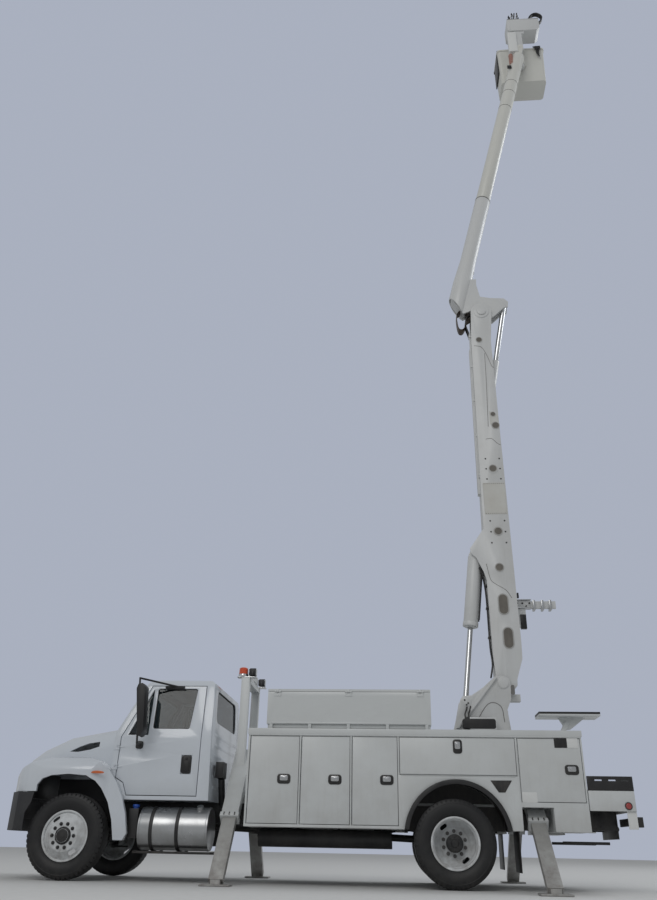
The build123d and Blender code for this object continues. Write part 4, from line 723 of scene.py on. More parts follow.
# Hood, grille, headlamps and bumper.
# One moulded fibreglass shell of bonnet and fenders that tilts forward on two lugs above the bumper.
# The bumper is dark moulded plastic over steel and wraps round to the tyres.
refine("hood", cab_paint, 0.007, 3)
bumper_grey = coat("bumper_grey", (0.022, 0.023, 0.026), gloss=0.5, dull=0.75, amount=0.35, high=1.3,
                   film=(0.12, 0.115, 0.11))
refine("front_bumper", bumper_grey, 0.006, 3)
lamp_lens = coat("lamp_lens", (0.50, 0.52, 0.53), gloss=0.08, dull=0.2, amount=0.15, high=2.0, metallic=0.35,
                 clear=1.0, film=(0.25, 0.25, 0.25), bump=0.0)
dress("headlamps", lamp_lens)
amber_lens = coat("amber_lens", (0.62, 0.12, 0.015), gloss=0.12, dull=0.3, amount=0.1, high=3.0, clear=0.8)


def put_pair(form, outline, near, far):
    """Adds a closed outline on both sides of the truck, between two distances from its middle."""
    for facing in (1, -1):
        put_prism(form, outline, facing * near, facing * far)


# A lamp's outline is an oval on its upper half and nearly flat below.
marker_outline = []
for step in range(24):
    angle = 2 * math.pi * step / 24
    height = abs(math.sin(angle)) ** 0.8 * (1 if math.sin(angle) > 0 else -0.35)
    marker_outline.append((-0.435 + 0.087 * (1 + math.cos(angle)), 1.262 + 0.026 * height))
for side, facing in both_sides:
    marker = bmesh.new()
    put_prism(marker, marker_outline, facing * 1.203, facing * 1.2165)
    settle("fender_marker_" + side, marker, "hood_body", amber_lens, ease=0.004)
ducts = bmesh.new()
put_pair(ducts, [(-0.205, 1.61), (0.235, 1.54), (0.235, 1.50), (-0.205, 1.55)], 0.60, 0.63)
settle("intake_ducts", ducts, "hood_body", cab_black)
grille = bmesh.new()
bar_piece = bmesh.new()
put_block(bar_piece, (0.893, -0.425, 1.083), (0.9, 0.425, 1.089))
repeat(grille, bar_piece, row_tree, cab_black, 5, step=(0, 0, 0.044))
post_piece = bmesh.new()
put_block(post_piece, (0.888, -0.004, 1.075), (0.894, 0.004, 1.30))
repeat(grille, post_piece, row_tree, cab_black, 9, centre=(0, -0.4, 0), step=(0, 0.1, 0))
settle("grille_bars", grille, "hood_body", cab_black)


# Tanks and black fittings.
# A spun aluminium fuel tank hangs in two straps with a rubber liner, and the fluid tank has a blue cap.
# The arch rims, mud flaps, battery box, air tanks and tail boards are black plastic, rubber or painted steel.
tank_metal = coat("tank_metal", (0.50, 0.51, 0.52), gloss=0.27, dull=0.5, amount=0.45, high=1.2,
                  metallic=0.95,
                  film=(0.20, 0.19, 0.17), bump=0.02)
refine("fuel_tank", tank_metal, 0.012, 4)
tank_y, tank_z, tank_radius = 0.800, 0.620, 0.2585
strap_half_width, strap_radius = 0.0235, 0.2675
tank_straps = bmesh.new()
for strap_x in (-1.440, -1.096):
    put_bar(tank_straps, (strap_x - strap_half_width, tank_y, tank_z),
            (strap_x + strap_half_width, tank_y, tank_z),
            strap_radius, 64)
settle("tank_straps", tank_straps, "root", cab_black, ease=0.002, smooth=30)
tank_seams = bmesh.new()
turns = [2 * math.pi * step / 72 for step in range(72)]
for seam_x in (-1.815, -0.945):
    put_pipe(tank_seams,
             [(seam_x, tank_y + tank_radius * math.cos(turn), tank_z + tank_radius * math.sin(turn))
                          for turn in turns], 0.0035, 6, closed=True)
put_bar(tank_seams, (-1.70, tank_y + 0.10, tank_z + 0.225), (-1.70, tank_y + 0.125, tank_z + 0.268), 0.045,
        28, 0.95)
settle("tank_seams", tank_seams, "root", tank_metal, smooth=50)
refine("chassis_fittings", cab_black, 0.006)
blue_cap = coat("blue_cap", (0.02, 0.09, 0.45), gloss=0.35, dull=0.5, amount=0.1, high=2.0)
cap_x, cap_y = -0.828, 0.90
cap = bmesh.new()
put_bar(cap, (cap_x, cap_y, 0.848), (cap_x, cap_y, 0.875), 0.034, 24)
put_bar(cap, (cap_x, cap_y, 0.872), (cap_x, cap_y, 0.902), 0.046, 24, 0.92)
settle("fluid_cap", cap, "root", blue_cap, ease=0.003, rows=3)
cradle_rear, cradle_front, bracket_half = -1.93, -0.86, 0.02
cradle = bmesh.new()
for rail_y in (0.64, 0.90):
    put_block(cradle, (cradle_rear, rail_y, 0.325), (cradle_front, rail_y + 0.06, 0.352))
for x in (-1.9, -1.44, -1.096, -0.9):
    put_block(cradle, (x - bracket_half, 0.425, 0.335), (x + bracket_half, 0.96, 0.356))
    put_block(cradle, (x - bracket_half, 0.405, 0.335), (x + bracket_half, 0.43, 0.78))
settle("tank_cradle", cradle, "root", chassis_paint, ease=0.003)


# Utility body.
# Welded sheet steel packs, deck and toolbox in one body white, with flush doors on piano hinges.
# Every door has a black bezel with a folding steel handle, and the rails and rims stand proud of the sheet.
body_paint = coat("body_paint", (0.61, 0.63, 0.63), gloss=0.3, dull=0.7, amount=0.32, high=2.2, scale=2.2,
                  film=(0.33, 0.31, 0.28), bump=0.05)
latch_black = coat("latch_black", (0.010, 0.010, 0.011), gloss=0.4, dull=0.7, amount=0.2, high=2.4)
latch_steel = coat("latch_steel", (0.52, 0.53, 0.54), gloss=0.25, dull=0.5, amount=0.25, high=2.4,
                   metallic=1.0)
plate_white = coat("plate_white", (0.72, 0.73, 0.72), gloss=0.35, dull=0.6, amount=0.15, high=2.0)
for side in ("left", "right"):
    refine("side_pack_" + side, body_paint, 0.0025)
    for number in range(1, 6):
        refine("pack_door_%d_%s" % (number, side), body_paint, 0.003)
for node in ("deck", "toolbox", "toolbox_lid"):
    refine(node, body_paint, 0.004)

skin_y = 1.220
sunk = 0.002
bezel_long, bezel_short = 0.172, 0.118
hinge_pitch, knuckle_length, knuckle_radius = 0.045, 0.043, 0.005
arch_x, arch_z = -5.04, 0.57
# columns: door number, latch x, latch z, upright
latches = (
    (1, -2.833, 1.219, False),
    (2, -3.495, 1.218, False),
    (3, -4.162, 1.221, False),
    (4, -5.079, 1.633, True),
    (5, -6.500, 1.368, False),
)
for side, facing in both_sides:
    for number, x, z, upright in latches:
        wide, tall = (bezel_short, bezel_long) if upright else (bezel_long, bezel_short)
        door = "pack_door_body_%d_%s" % (number, side)
        bezel = bmesh.new()
        put_prism(bezel, rounded((x, z), (wide, tall), 0.036, 6), facing * (skin_y - sunk),
                  facing * (skin_y + 0.009))
        settle("latch_bezel_%d_%s" % (number, side), bezel, door, latch_black, ease=0.003)
        paddle = bmesh.new()
        middle = z + tall * 0.08
        flap = (wide * 0.60, tall * 0.52)
        put_prism(paddle, rounded((x, middle), flap, 0.016), facing * (skin_y + 0.008),
                  facing * (skin_y + 0.013))
        grip = rounded((x - wide * 0.06, middle), (flap[0] * 0.55, flap[1] * 0.6), 0.008)
        put_prism(paddle, grip, facing * (skin_y + 0.012), facing * (skin_y + 0.019))
        settle("latch_paddle_%d_%s" % (number, side), paddle, door, latch_steel, ease=0.002)

# columns: front x, rear x, low z, high z of each door opening, hinge on the lower edge
doorways = (
    (-2.365, -3.025, 0.690, 1.745, False),
    (-3.045, -3.690, 0.690, 1.745, False),
    (-3.710, -4.305, 0.690, 1.745, False),
    (-4.325, -5.815, 1.285, 1.745, True),
    (-5.840, -6.640, 0.985, 1.745, False),
)
for side, facing in both_sides:
    trim = bmesh.new()
    hinge_y = facing * (skin_y + sunk)
    for front, rear, low, high, lower in doorways:
        barrel = bmesh.new()
        if lower:
            start = rear + 0.03
            put_bar(barrel, (start, 0, 0), (start + knuckle_length, 0, 0), knuckle_radius, 10)
            repeat(trim, barrel, row_tree, body_paint, 32, centre=(0, hinge_y, low - 0.004),
                   step=(hinge_pitch, 0, 0))
        else:
            put_bar(barrel, (0, 0, 0), (0, 0, knuckle_length), knuckle_radius, 10)
            count = int((high - low - 0.06) / hinge_pitch)
            repeat(trim, barrel, row_tree, body_paint, count, centre=(front + 0.004, hinge_y, low + 0.03),
                   step=(0, 0, hinge_pitch))
    gutter = ((skin_y, 1.755), (skin_y + 0.014, 1.755), (skin_y + 0.014, 1.769), (skin_y, 1.769))
    put_prism(trim, [(facing * y, z) for y, z in gutter], -6.66, -2.34, "X")
    settle("door_hinges_" + side, trim, "root", body_paint)


def arch(radius, turns):
    """Points round the rear wheels at the given degrees."""
    return [(arch_x + radius * math.cos(math.radians(turn)), arch_z + radius * math.sin(math.radians(turn)))
            for turn in turns]


liner = bmesh.new()
put_pair(liner, arch(0.6695, range(8, 173, 4)) + arch(0.6615, range(172, 7, -4)), 0.562, 1.16)
put_pair(liner, arch(0.6660, range(8, 173, 4)), 0.500, 0.506)
settle("arch_liners", liner, "root", latch_black, smooth=25.0)
wedges = bmesh.new()
put_pair(wedges, [(-5.472, 1.232), (-5.741, 1.235), (-5.648, 1.094), (-5.567, 1.093)], skin_y - sunk,
         skin_y + 0.005)
settle("arch_wedges", wedges, "root", latch_black, ease=0.002)

# columns: name, x, z, width, height, corner radius, thickness, finish
plates = (
    ("door_plate_dark", -6.392, 1.689, 0.160, 0.118, 0.006, 0.004, latch_black),
    ("door_plate_pale", -6.543, 1.689, 0.136, 0.118, 0.006, 0.004, plate_white),
    ("door_label", -5.946, 1.041, 0.184, 0.121, 0.008, 0.003, plate_white),
)
for name, x, z, wide, tall, corner, proud, finish in plates:
    plate = bmesh.new()
    put_prism(plate, rounded((x, z), (wide, tall), corner), skin_y - sunk, skin_y + proud)
    settle(name, plate, "pack_door_body_5_left", finish, ease=0.001)

box_ribs = bmesh.new()
for x in (-2.60, -4.72):
    put_block(box_ribs, (x - 0.02, 0.66, 1.842), (x + 0.02, 1.17, 1.90))
put_block(box_ribs, (-4.70, 1.196, 1.905), (-2.62, 1.206, 1.925))
put_block(box_ribs, (-4.745, 1.120, 1.853), (-2.577, 1.165, 1.899))
settle("toolbox_trim", box_ribs, "root", body_paint, ease=0.003)


# Lamps.
# Two red-orange beacons with chromed bases stand beside black work floods on the posts behind the cab.
# The stop and turn lamps at the tail are red discs in rubber rings.
beacon_red = coat("beacon_red", (0.72, 0.085, 0.02), gloss=0.16, dull=0.4, amount=0.1, high=6.0, clear=0.9)
tail_red = coat("tail_red", (0.35, 0.008, 0.008), gloss=0.15, dull=0.5, amount=0.3, high=1.6, clear=0.9)
bright = coat("bright_metal", (0.72, 0.73, 0.74), gloss=0.1, dull=0.4, amount=0.15, high=6.0, metallic=1.0)
beacon_x, beacon_foot, ring_rise = -2.0575, 2.694, 0.0118
flood_z, flood_back = 2.722, -2.246
post_y = 0.42
beacons = bmesh.new()
bases = bmesh.new()
floods = bmesh.new()
lenses = bmesh.new()
for facing in (1, -1):
    y = facing * post_y
    put_block(bases, (-2.262, facing * 0.362, 2.6400), (-1.978, facing * 0.478, 2.6525))
    put_bar(bases, (beacon_x, y, 2.652), (beacon_x, y, 2.682), 0.071, 32)
    put_bar(bases, (beacon_x, y, 2.682), (beacon_x, y, beacon_foot), 0.071, 32, 0.94)
    for step in range(7):
        z = beacon_foot + ring_rise * step
        wide = 0.0685 if step % 2 == 0 else 0.0660
        put_bar(beacons, (beacon_x, y, z), (beacon_x, y, z + ring_rise), wide - 0.0008 * step, 32, 0.995)
    put_bar(beacons, (beacon_x, y, 2.776), (beacon_x, y, 2.788), 0.060, 32, 0.75)
    put_prism(floods, rounded((y, flood_z), (0.104, 0.108), 0.02), flood_back, -2.158, "X")
    put_prism(lenses, rounded((y, flood_z), (0.086, 0.09), 0.014), -2.252, -2.245, "X")
    for step in range(5):
        z = 2.684 + 0.018 * step
        put_block(floods, (-2.160, y - 0.044, z), (-2.140, y + 0.044, z + 0.006))
    put_block(floods, (-2.215, y - 0.058, 2.652), (-2.185, y + 0.058, 2.668))
    for edge in (y - 0.055, y + 0.055):
        put_block(floods, (-2.215, edge - 0.003, 2.655), (-2.185, edge + 0.003, 2.73))
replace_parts(settle("beacons", beacons, "root", beacon_red, ease=0.0015, rows=1), "lamps")
settle("beacon_bases", bases, "root", bright, ease=0.002)
settle("flood_bodies", floods, "root", latch_black, ease=0.003)
settle("flood_lenses", lenses, "root", lamp_lens, ease=0.002)
side_lamp_x, side_lamp_z = -7.140, 0.960
tail_x, tail_lamp_z = -7.228, 1.010
tail_lamps = bmesh.new()
tail_rings = bmesh.new()
# columns: form, start and end outwards from the sheet, radius, taper
side_steps = ((tail_rings, -0.002, 0.008, 0.046, 1.0), (tail_lamps, 0.006, 0.016, 0.037, 0.82))
rear_steps = ((tail_rings, 0.0, 0.010, 0.058, 1.0), (tail_lamps, 0.008, 0.020, 0.049, 0.85))
for facing in (1, -1):
    for form, start, end, radius, taper in side_steps:
        put_bar(form, (side_lamp_x, facing * (skin_y + start), side_lamp_z),
                (side_lamp_x, facing * (skin_y + end), side_lamp_z), radius, 32, taper)
    for across in (0.70, 0.85):
        for form, start, end, radius, taper in rear_steps:
            put_bar(form, (tail_x - start, facing * across, tail_lamp_z),
                    (tail_x - end, facing * across, tail_lamp_z), radius, 32, taper)
settle("tail_lamps", tail_lamps, "root", tail_red, ease=0.002)
settle("tail_lamp_rings", tail_rings, "root", latch_black, ease=0.002)


# Outriggers and pedestal.
# Box section housings welded across the frame in body white, each with a bolted collar round its leg.
# The legs are bare galvanised box section, scratched and rust stained, on flat steel feet.
def worn_steel(name, colour):
    """Zinc coated steel with pale scratches along its length and rust that creeps from the edges."""
    material = coat(name, colour, gloss=0.45, dull=0.75, amount=0.45, high=0.9, metallic=0.35,
                    film=(0.15, 0.12, 0.11), scale=7.0, bump=0.12)
    tree = material.node_tree
    skin = tree.nodes["Principled BSDF"]
    place = wire(tree, "ShaderNodeTexCoord").outputs["Object"]
    fine = wire(tree, "ShaderNodeMapping", Vector=place, Scale=(60.0, 14.0, 3.0)).outputs[0]
    scratches = grow(tree, noise(tree, fine, 3.0, 6.0, 0.7), 0.60, 0.72)
    rust = grow(tree, noise(tree, place, 13.0, 9.0, 0.72), 0.63, 0.74)
    zinc = skin.inputs["Base Color"].links[0].from_socket
    scratched = mixed(tree, scratches, zinc, (0.50, 0.50, 0.48, 1.0))
    stained = mixed(tree, rust, scratched, (0.13, 0.055, 0.022, 1.0))
    tree.links.new(stained, skin.inputs["Base Color"])
    return material


leg_steel = worn_steel("leg_steel", (0.40, 0.40, 0.385))
for side in ("left", "right"):
    for end in ("front", "rear"):
        refine("leg_%s_%s" % (end, side), leg_steel, 0.004)
refine("front_outriggers", body_paint, 0.004)
refine("pedestal", body_paint, 0.004)

# columns: x, collar y, collar z, foot y, foot z of the front and the rear leg
leg_rows = (
    (-2.110, 0.975, 0.735, 1.545, 0.045),
    (-6.040, 1.100, 0.720, 1.890, 0.045),
)
collar_face, bolt_radius, bolt_height = 0.0765, 0.0085, 0.010
collar_bolts = bmesh.new()
for x, collar_y, collar_z, foot_y, foot_z in leg_rows:
    along = Vector((0.0, foot_y - collar_y, foot_z - collar_z)).normalized()
    outwards = Vector((0.0, -along.z, along.y))
    for facing in (1, -1):
        for spread in (-0.070, 0.0, 0.070):
            for rise in (0.018, 0.044):
                place = Vector((x + spread, collar_y, collar_z)) - along * rise + outwards * collar_face
                start = Vector((place.x, facing * place.y, place.z))
                away = Vector((0.0, facing * outwards.y, outwards.z))
                put_bar(collar_bolts, start, start + away * bolt_height, bolt_radius, 6)
settle("collar_bolts", collar_bolts, "root", latch_black)


# Tail, steps and hitch.
# Painted channel and flat steel under the tail, with a hook, rubber blocks and a marking plate.
tail_plates = bmesh.new()
for facing in (1, -1):
    put_block(tail_plates, (-7.232, facing * 1.188, 0.700), (-7.118, facing * 1.197, 0.905))
settle("tail_marking_plates", tail_plates, "root", plate_white, ease=0.002)
tail_black = bmesh.new()
for facing in (1, -1):
    put_block(tail_black, (-7.300, facing * 1.10, 0.725), (-7.233, facing * 1.19, 0.840))
    put_block(tail_black, (-7.234, facing * 0.40, 0.745), (-7.205, facing * 1.186, 0.835))
    put_block(tail_black, (-7.04, facing * 0.405, 0.53), (-6.44, facing * 0.440, 0.565))
settle("tail_blocks", tail_black, "root", chassis_paint, ease=0.004)
# columns: radius, and x, y, z of the points of each pipe along the rail
rail_pipes = (
    (0.012, ((-2.30, 0.452, 0.60), (-3.0, 0.456, 0.56), (-3.8, 0.452, 0.585), (-4.25, 0.452, 0.66))),
    (0.009, ((-2.30, 0.452, 0.64), (-3.1, 0.458, 0.62), (-4.0, 0.452, 0.64), (-4.4, 0.452, 0.70))),
)
pipes = bmesh.new()
for facing in (1, -1):
    for radius, points in rail_pipes:
        put_pipe(pipes, curved([(x, facing * y, z) for x, y, z in points]), radius)
    for x in (-2.42, -2.95, -3.5, -4.05):
        put_block(pipes, (x - 0.015, facing * 0.430, 0.55), (x + 0.015, facing * 0.470, 0.66))
settle("frame_lines", pipes, "root", chassis_paint)


# Turret, lower boom and lifting cylinder.
# Welded steel boxes in the same white, and a moulded insulating insert in the boom between riveted bands.
# Inspection covers, joint seams and clipped hoses run up its sides, and the cylinder rod is chromed.
boom_paint = coat("boom_paint", (0.62, 0.63, 0.63), gloss=0.32, dull=0.6, amount=0.22, high=14.0, scale=1.4,
                  film=(0.34, 0.32, 0.28))
insert_cream = coat("insert_cream", (0.585, 0.585, 0.555), gloss=0.35, dull=0.6, amount=0.3, high=14.0,
                    scale=2.0, film=(0.36, 0.31, 0.24))
cover_brown = coat("cover_brown", (0.120, 0.110, 0.095), gloss=0.5, dull=0.7, amount=0.3, high=14.0)
cover_frame = coat("cover_frame", (0.40, 0.40, 0.39), gloss=0.4, dull=0.6, amount=0.25, high=14.0,
                   metallic=0.3)
seam_dark = coat("seam_dark", (0.16, 0.155, 0.15), gloss=0.5, dull=0.7, amount=0.2, high=14.0)
chrome = coat("chrome_rod", (0.62, 0.63, 0.64), gloss=0.12, dull=0.4, amount=0.2, high=14.0, metallic=1.0)
hose_black = coat("hose_black", (0.010, 0.010, 0.011), gloss=0.38, dull=0.6, amount=0.15, high=18.0)
hose_brown = coat("hose_brown", (0.045, 0.025, 0.014), gloss=0.4, dull=0.6, amount=0.15, high=18.0)
for node in ("turret", "lower_boom", "lift_barrel", "elbow_hub", "upper_boom", "boom_head"):
    refine(node, boom_paint, 0.004)
for node in ("lift_rod", "fold_rod"):
    refine(node, chrome, 0.002)



def lay_hoses(name, body, radius, paths, facets=10):
    """Makes one piece of formed black hoses that follow smooth paths."""
    form = bmesh.new()
    for points in paths:
        put_pipe(form, curved(points), radius, facets)
    settle(name, form, body, hose_black)


valve = bmesh.new()
put_prism(valve, rounded((-5.4575, 2.030), (0.465, 0.136), 0.03, 5), 0.30, 0.3985)
put_prism(valve, rounded((-5.4300, 2.085), (0.330, 0.080), 0.03, 5), 0.31, 0.380)
settle("valve_cover", valve, "turret_body", latch_black, ease=0.012, rows=3)
lay_hoses("valve_hoses", "turret_body", 0.011, [
    [(x, 0.34, 2.08), (x + 0.01, 0.33, 2.16), (x - 0.02, 0.235, 2.24), (x - 0.04, 0.18, 2.30)]
    for x in (-5.33, -5.28)], 8)
ring_bolts = bmesh.new()
ring_radius = 0.43
for step in range(24):
    angle = math.pi / 12 * step
    place = Vector((-5.53 + ring_radius * math.cos(angle), ring_radius * math.sin(angle), 1.889))
    put_bar(ring_bolts, place, place + Vector((0, 0, 0.012)), 0.012, 6)
settle("slew_ring_bolts", ring_bolts, "root", body_paint)

side_y, cover_pitch = 0.150, 0.187
# columns: x, z, radius, length upwards
discs = (
    (-5.909, 8.701, 0.060, 0.0),
    (-6.045, 7.150, 0.048, 0.0),
    (-6.075, 6.930, 0.070, 0.0),
    (-5.970, 6.115, 0.072, 0.0),
    (-5.972, 5.004, 0.072, 0.0),
    (-5.947, 4.401, 0.072, 0.0),
    (-5.960, 3.811, 0.082, 0.170),
    (-5.995, 3.295, 0.082, 0.170),
)


def capsule(x, z, radius, length, steps=12):
    """An upright outline with half-round ends, or a circle where it has no length."""
    outline = []
    for sign in (1, -1):
        for step in range(steps + 1):
            if length == 0 and step == steps:
                continue
            angle = math.pi * step / steps + (0.0 if sign > 0 else math.pi)
            outline.append((x + radius * math.cos(angle), z + sign * length / 2 + radius * math.sin(angle)))
    return outline


faces = bmesh.new()
rims = bmesh.new()
cover_bolts = bmesh.new()
for x, z, radius, length in discs:
    put_pair(rims, capsule(x, z, radius, length), side_y + 0.002, side_y + 0.0095)
    put_pair(faces, capsule(x, z, radius * 0.80, length), side_y + 0.005, side_y + 0.0108)
for facing in (1, -1):
    for middle_z in (6.112, 4.996):
        for x in (-6.087, -5.859):
            repeat(cover_bolts, bolt(0.010, 0.007, facing), row_tree, hose_black, 3,
                   centre=(x, facing * side_y, middle_z - cover_pitch), step=(0, 0, cover_pitch))
settle("boom_cover_rims", rims, "lower_boom_body", cover_frame, ease=0.0015, rows=1)
settle("boom_cover_faces", faces, "lower_boom_body", cover_brown, ease=0.0015, rows=1)
settle("boom_cover_bolts", cover_bolts, "lower_boom_body", hose_black)

insert = bmesh.new()
insert_y, insert_low, insert_high = 0.1535, 5.297, 5.855
for facing in (1, -1):
    put_block(insert, (-6.138, facing * 0.1495, insert_low), (-5.786, facing * insert_y, insert_high))
for low_x, high_x in ((-5.790, -5.784), (-6.140, -6.134)):
    put_block(insert, (low_x, -insert_y, insert_low), (high_x, insert_y, insert_high))
settle("boom_insert", insert, "lower_boom_body", insert_cream, ease=0.0015, rows=1)
rivets_a_row, rivet_pitch = 11, 0.0312
rivets = bmesh.new()
for facing in (1, -1):
    for z in (insert_low + 0.015, insert_high - 0.017):
        rivet = bmesh.new()
        put_bar(rivet, (0, 0, 0), (0, facing * 0.004, 0), 0.007, 10, 0.6)
        repeat(rivets, rivet, row_tree, seam_dark, rivets_a_row, centre=(-6.118, facing * 0.1533, z),
               step=(rivet_pitch, 0, 0))
settle("insert_rivets", rivets, "lower_boom_body", seam_dark)

# Joint seams of the boom's side cover, drawn as narrow beads.
seams = bmesh.new()
# columns: x, z of each point
seam_paths = (
    ((-5.814, 8.578), (-5.946, 8.537), (-6.036, 8.336), (-6.095, 8.140), (-6.135, 8.100)),
    ((-5.891, 6.670), (-5.989, 6.677), (-6.080, 6.586), (-6.135, 6.551)),
    ((-5.747, 4.460), (-5.790, 4.227), (-5.850, 4.145), (-6.016, 4.036), (-6.097, 3.909)),
    ((-5.990, 8.409), (-5.982, 7.900), (-5.966, 7.400), (-5.950, 6.910)),
)
for facing in (1, -1):
    for path in seam_paths:
        put_pipe(seams, curved([(x, facing * 0.1505, z) for x, z in path]), 0.004, 8)
settle("boom_seams", seams, "lower_boom_body", seam_dark)
name_plate = bmesh.new()
put_prism(name_plate, [(-5.985, 7.215), (-6.130, 7.120), (-6.130, 6.860), (-5.985, 6.950)], side_y,
          side_y + 0.003)
settle("boom_plate", name_plate, "lower_boom_body", insert_cream)

lay_hoses("boom_hoses", "lower_boom_body", 0.011, [
    [(-5.640, offset, 4.420), (-5.690, offset + 0.004, 4.246), (-5.718, offset, 3.925),
     (-5.722, offset, 3.186), (-5.742, offset, 2.949), (-5.700, offset + 0.01, 2.720)]
    for offset in (0.055, 0.085, 0.115)])
clamps = bmesh.new()
for z in (3.30, 3.75, 4.10):
    put_block(clamps, (-5.745, 0.035, z), (-5.700, 0.135, z + 0.03))
settle("hose_clamps", clamps, "lower_boom_body", hose_black, ease=0.003)
conduit_y, strap_half = 0.06, 0.048
conduit = bmesh.new()
put_pipe(conduit, [(x, conduit_y, z) for x, z in ((-5.748, 5.98), (-5.752, 7.30), (-5.762, 8.90))], 0.017, 12,
         wide=2.2)
for z in (6.02, 6.75, 7.45, 8.15, 8.80):
    put_block(conduit, (-5.778, conduit_y - strap_half, z), (-5.735, conduit_y + strap_half, z + 0.035))
settle("boom_conduit", conduit, "lower_boom_body", boom_paint, ease=0.003)
elbow_guard = bmesh.new()
put_pipe(elbow_guard, curved([(x, 0.0, z) for x, z in (
    (-5.800, 9.400), (-5.640, 9.420), (-5.552, 9.340), (-5.548, 9.160), (-5.575, 9.010),
    (-5.640, 8.990), (-5.690, 9.070), (-5.720, 9.190), (-5.800, 9.260))]), 0.009, 12, wide=11.0)
settle("elbow_guard", elbow_guard, "lower_boom_body", hose_brown)
lay_hoses("elbow_hoses", "lower_boom_body", 0.013, [
    [(-5.762, offset, 8.860), (-5.735, offset, 8.960), (-5.700, offset, 9.120), (-5.735, offset, 9.290),
     (-5.810, offset, 9.350)] for offset in (-0.05, 0.0, 0.05)])

# columns: x, z, radius of each pin's cover, and of its two slot bolts
pin_rows = ((-5.860, 2.630, 0.088, 0.016), (-5.311, 2.360, 0.072, 0.014))
cheek_y = 0.190
pins = bmesh.new()
pin_bolts = bmesh.new()
for x, z, radius, small in pin_rows:
    for facing in (1, -1):
        put_bar(pins, (x, facing * (cheek_y - 0.004), z), (x, facing * (cheek_y + 0.007), z), radius, 40)
        put_bar(pins, (x, facing * (cheek_y + 0.006), z), (x, facing * (cheek_y + 0.013), z), radius * 0.55,
                32)
        for across, up in ((0.33, 0.30), (-0.33, -0.30), (0.0, -0.62)):
            bolt_x, bolt_z = x + across * radius, z + up * radius
            put_bar(pin_bolts, (bolt_x, facing * (cheek_y + 0.005), bolt_z),
                    (bolt_x, facing * (cheek_y + 0.018), bolt_z), small, 6)
settle("turret_pins", pins, "turret_body", boom_paint, ease=0.002)
settle("turret_pin_bolts", pin_bolts, "turret_body", hose_black)
# The flat dark slot beside the boom's pin is painted shade standing for a hole in the cheek; the curved bead
# is a joint seam.
turret_seam_and_hole_shade = bmesh.new()
put_pair(turret_seam_and_hole_shade, capsule(-5.990, 2.530, 0.028, 0.085), 0.1895, 0.1925)
for facing in (1, -1):
    put_pipe(turret_seam_and_hole_shade, curved([(x, facing * 0.1915, z) for x, z in (
        (-5.40, 2.02), (-5.62, 2.33), (-5.80, 2.30), (-5.84, 2.08))]), 0.005, 8)
settle("turret_seam_and_hole_shade", turret_seam_and_hole_shade, "turret_body", seam_dark)

glands = bmesh.new()
low_pin, high_pin = Vector((-5.311, 0, 2.360)), Vector((-5.600, 0, 4.680))
thrust = (low_pin - high_pin).normalized()
for start, end, radius in ((1.120, 1.186, 0.118), (1.185, 1.200, 0.090)):
    put_bar(glands, high_pin + thrust * start, high_pin + thrust * end, radius, 40)
settle("barrel_glands", glands, "lift_barrel_body", boom_paint, ease=0.003)
inwards = Vector((thrust.z, 0.0, -thrust.x)) * 0.124
lay_hoses("cylinder_lines", "lift_barrel_body", 0.010, [
    [high_pin + thrust * along + inwards + Vector((0.0, offset, 0.0)) for along in (0.22, 0.60, 1.08)]
    for offset in (-0.05, 0.05)], 8)

arm_y, ring_z = -0.180, 3.905
tool_arm = bmesh.new()
put_bar(tool_arm, (-6.240, arm_y, 4.000), (-6.240, arm_y, 4.086), 0.016, 16)
put_block(tool_arm, (-6.336, -0.215, 3.513), (-6.246, -0.150, 3.733))
for facing in (-1, 1):
    for x in (-6.21, -6.29, -6.40):
        put_bar(tool_arm, (x, arm_y + facing * 0.046, ring_z), (x, arm_y + facing * 0.056, ring_z), 0.016, 16)
for x in (-6.20, -6.35):
    put_bar(tool_arm, (x, -0.225, 3.866), (x, -0.135, 3.866), 0.010, 12)
settle("tool_arm_fittings", tool_arm, "lower_boom_body", latch_black, ease=0.004)
arm_clamps = bmesh.new()
for x in (-6.470, -6.600, -6.720):
    put_block(arm_clamps, (x - 0.018, -0.240, 3.800), (x + 0.018, -0.120, 3.955))
put_block(arm_clamps, (-6.430, -0.236, 3.830), (-6.160, -0.124, 3.842))
put_block(arm_clamps, (-6.430, -0.236, 3.958), (-6.160, -0.124, 3.970))
settle("tool_arm_clamps", arm_clamps, "lower_boom_body", latch_steel, ease=0.004)


# Upper boom, bucket and controls.
# A filament wound glass fibre tube slides over a steel sleeve and carries the levelled head.
# The bucket is one moulded glass fibre tub, and the control console beside it has a bank of levers.
glass_fibre = coat("glass_fibre", (0.66, 0.66, 0.62), gloss=0.28, dull=0.5, amount=0.15, high=22.0, scale=1.2,
                   film=(0.40, 0.38, 0.33))
pink_insulator = coat("pink_insulator", (0.50, 0.27, 0.22), gloss=0.35, dull=0.6, amount=0.15, high=22.0)
for node in ("upper_tube", "bucket"):
    refine(node, glass_fibre, 0.004)


def tube_point(z):
    """The middle of the upper tube at a height."""
    return Vector((-3.178 - 0.2501 * z, 0.0, z))


tube_axis = (tube_point(16.0) - tube_point(12.0)).normalized()
bands = bmesh.new()
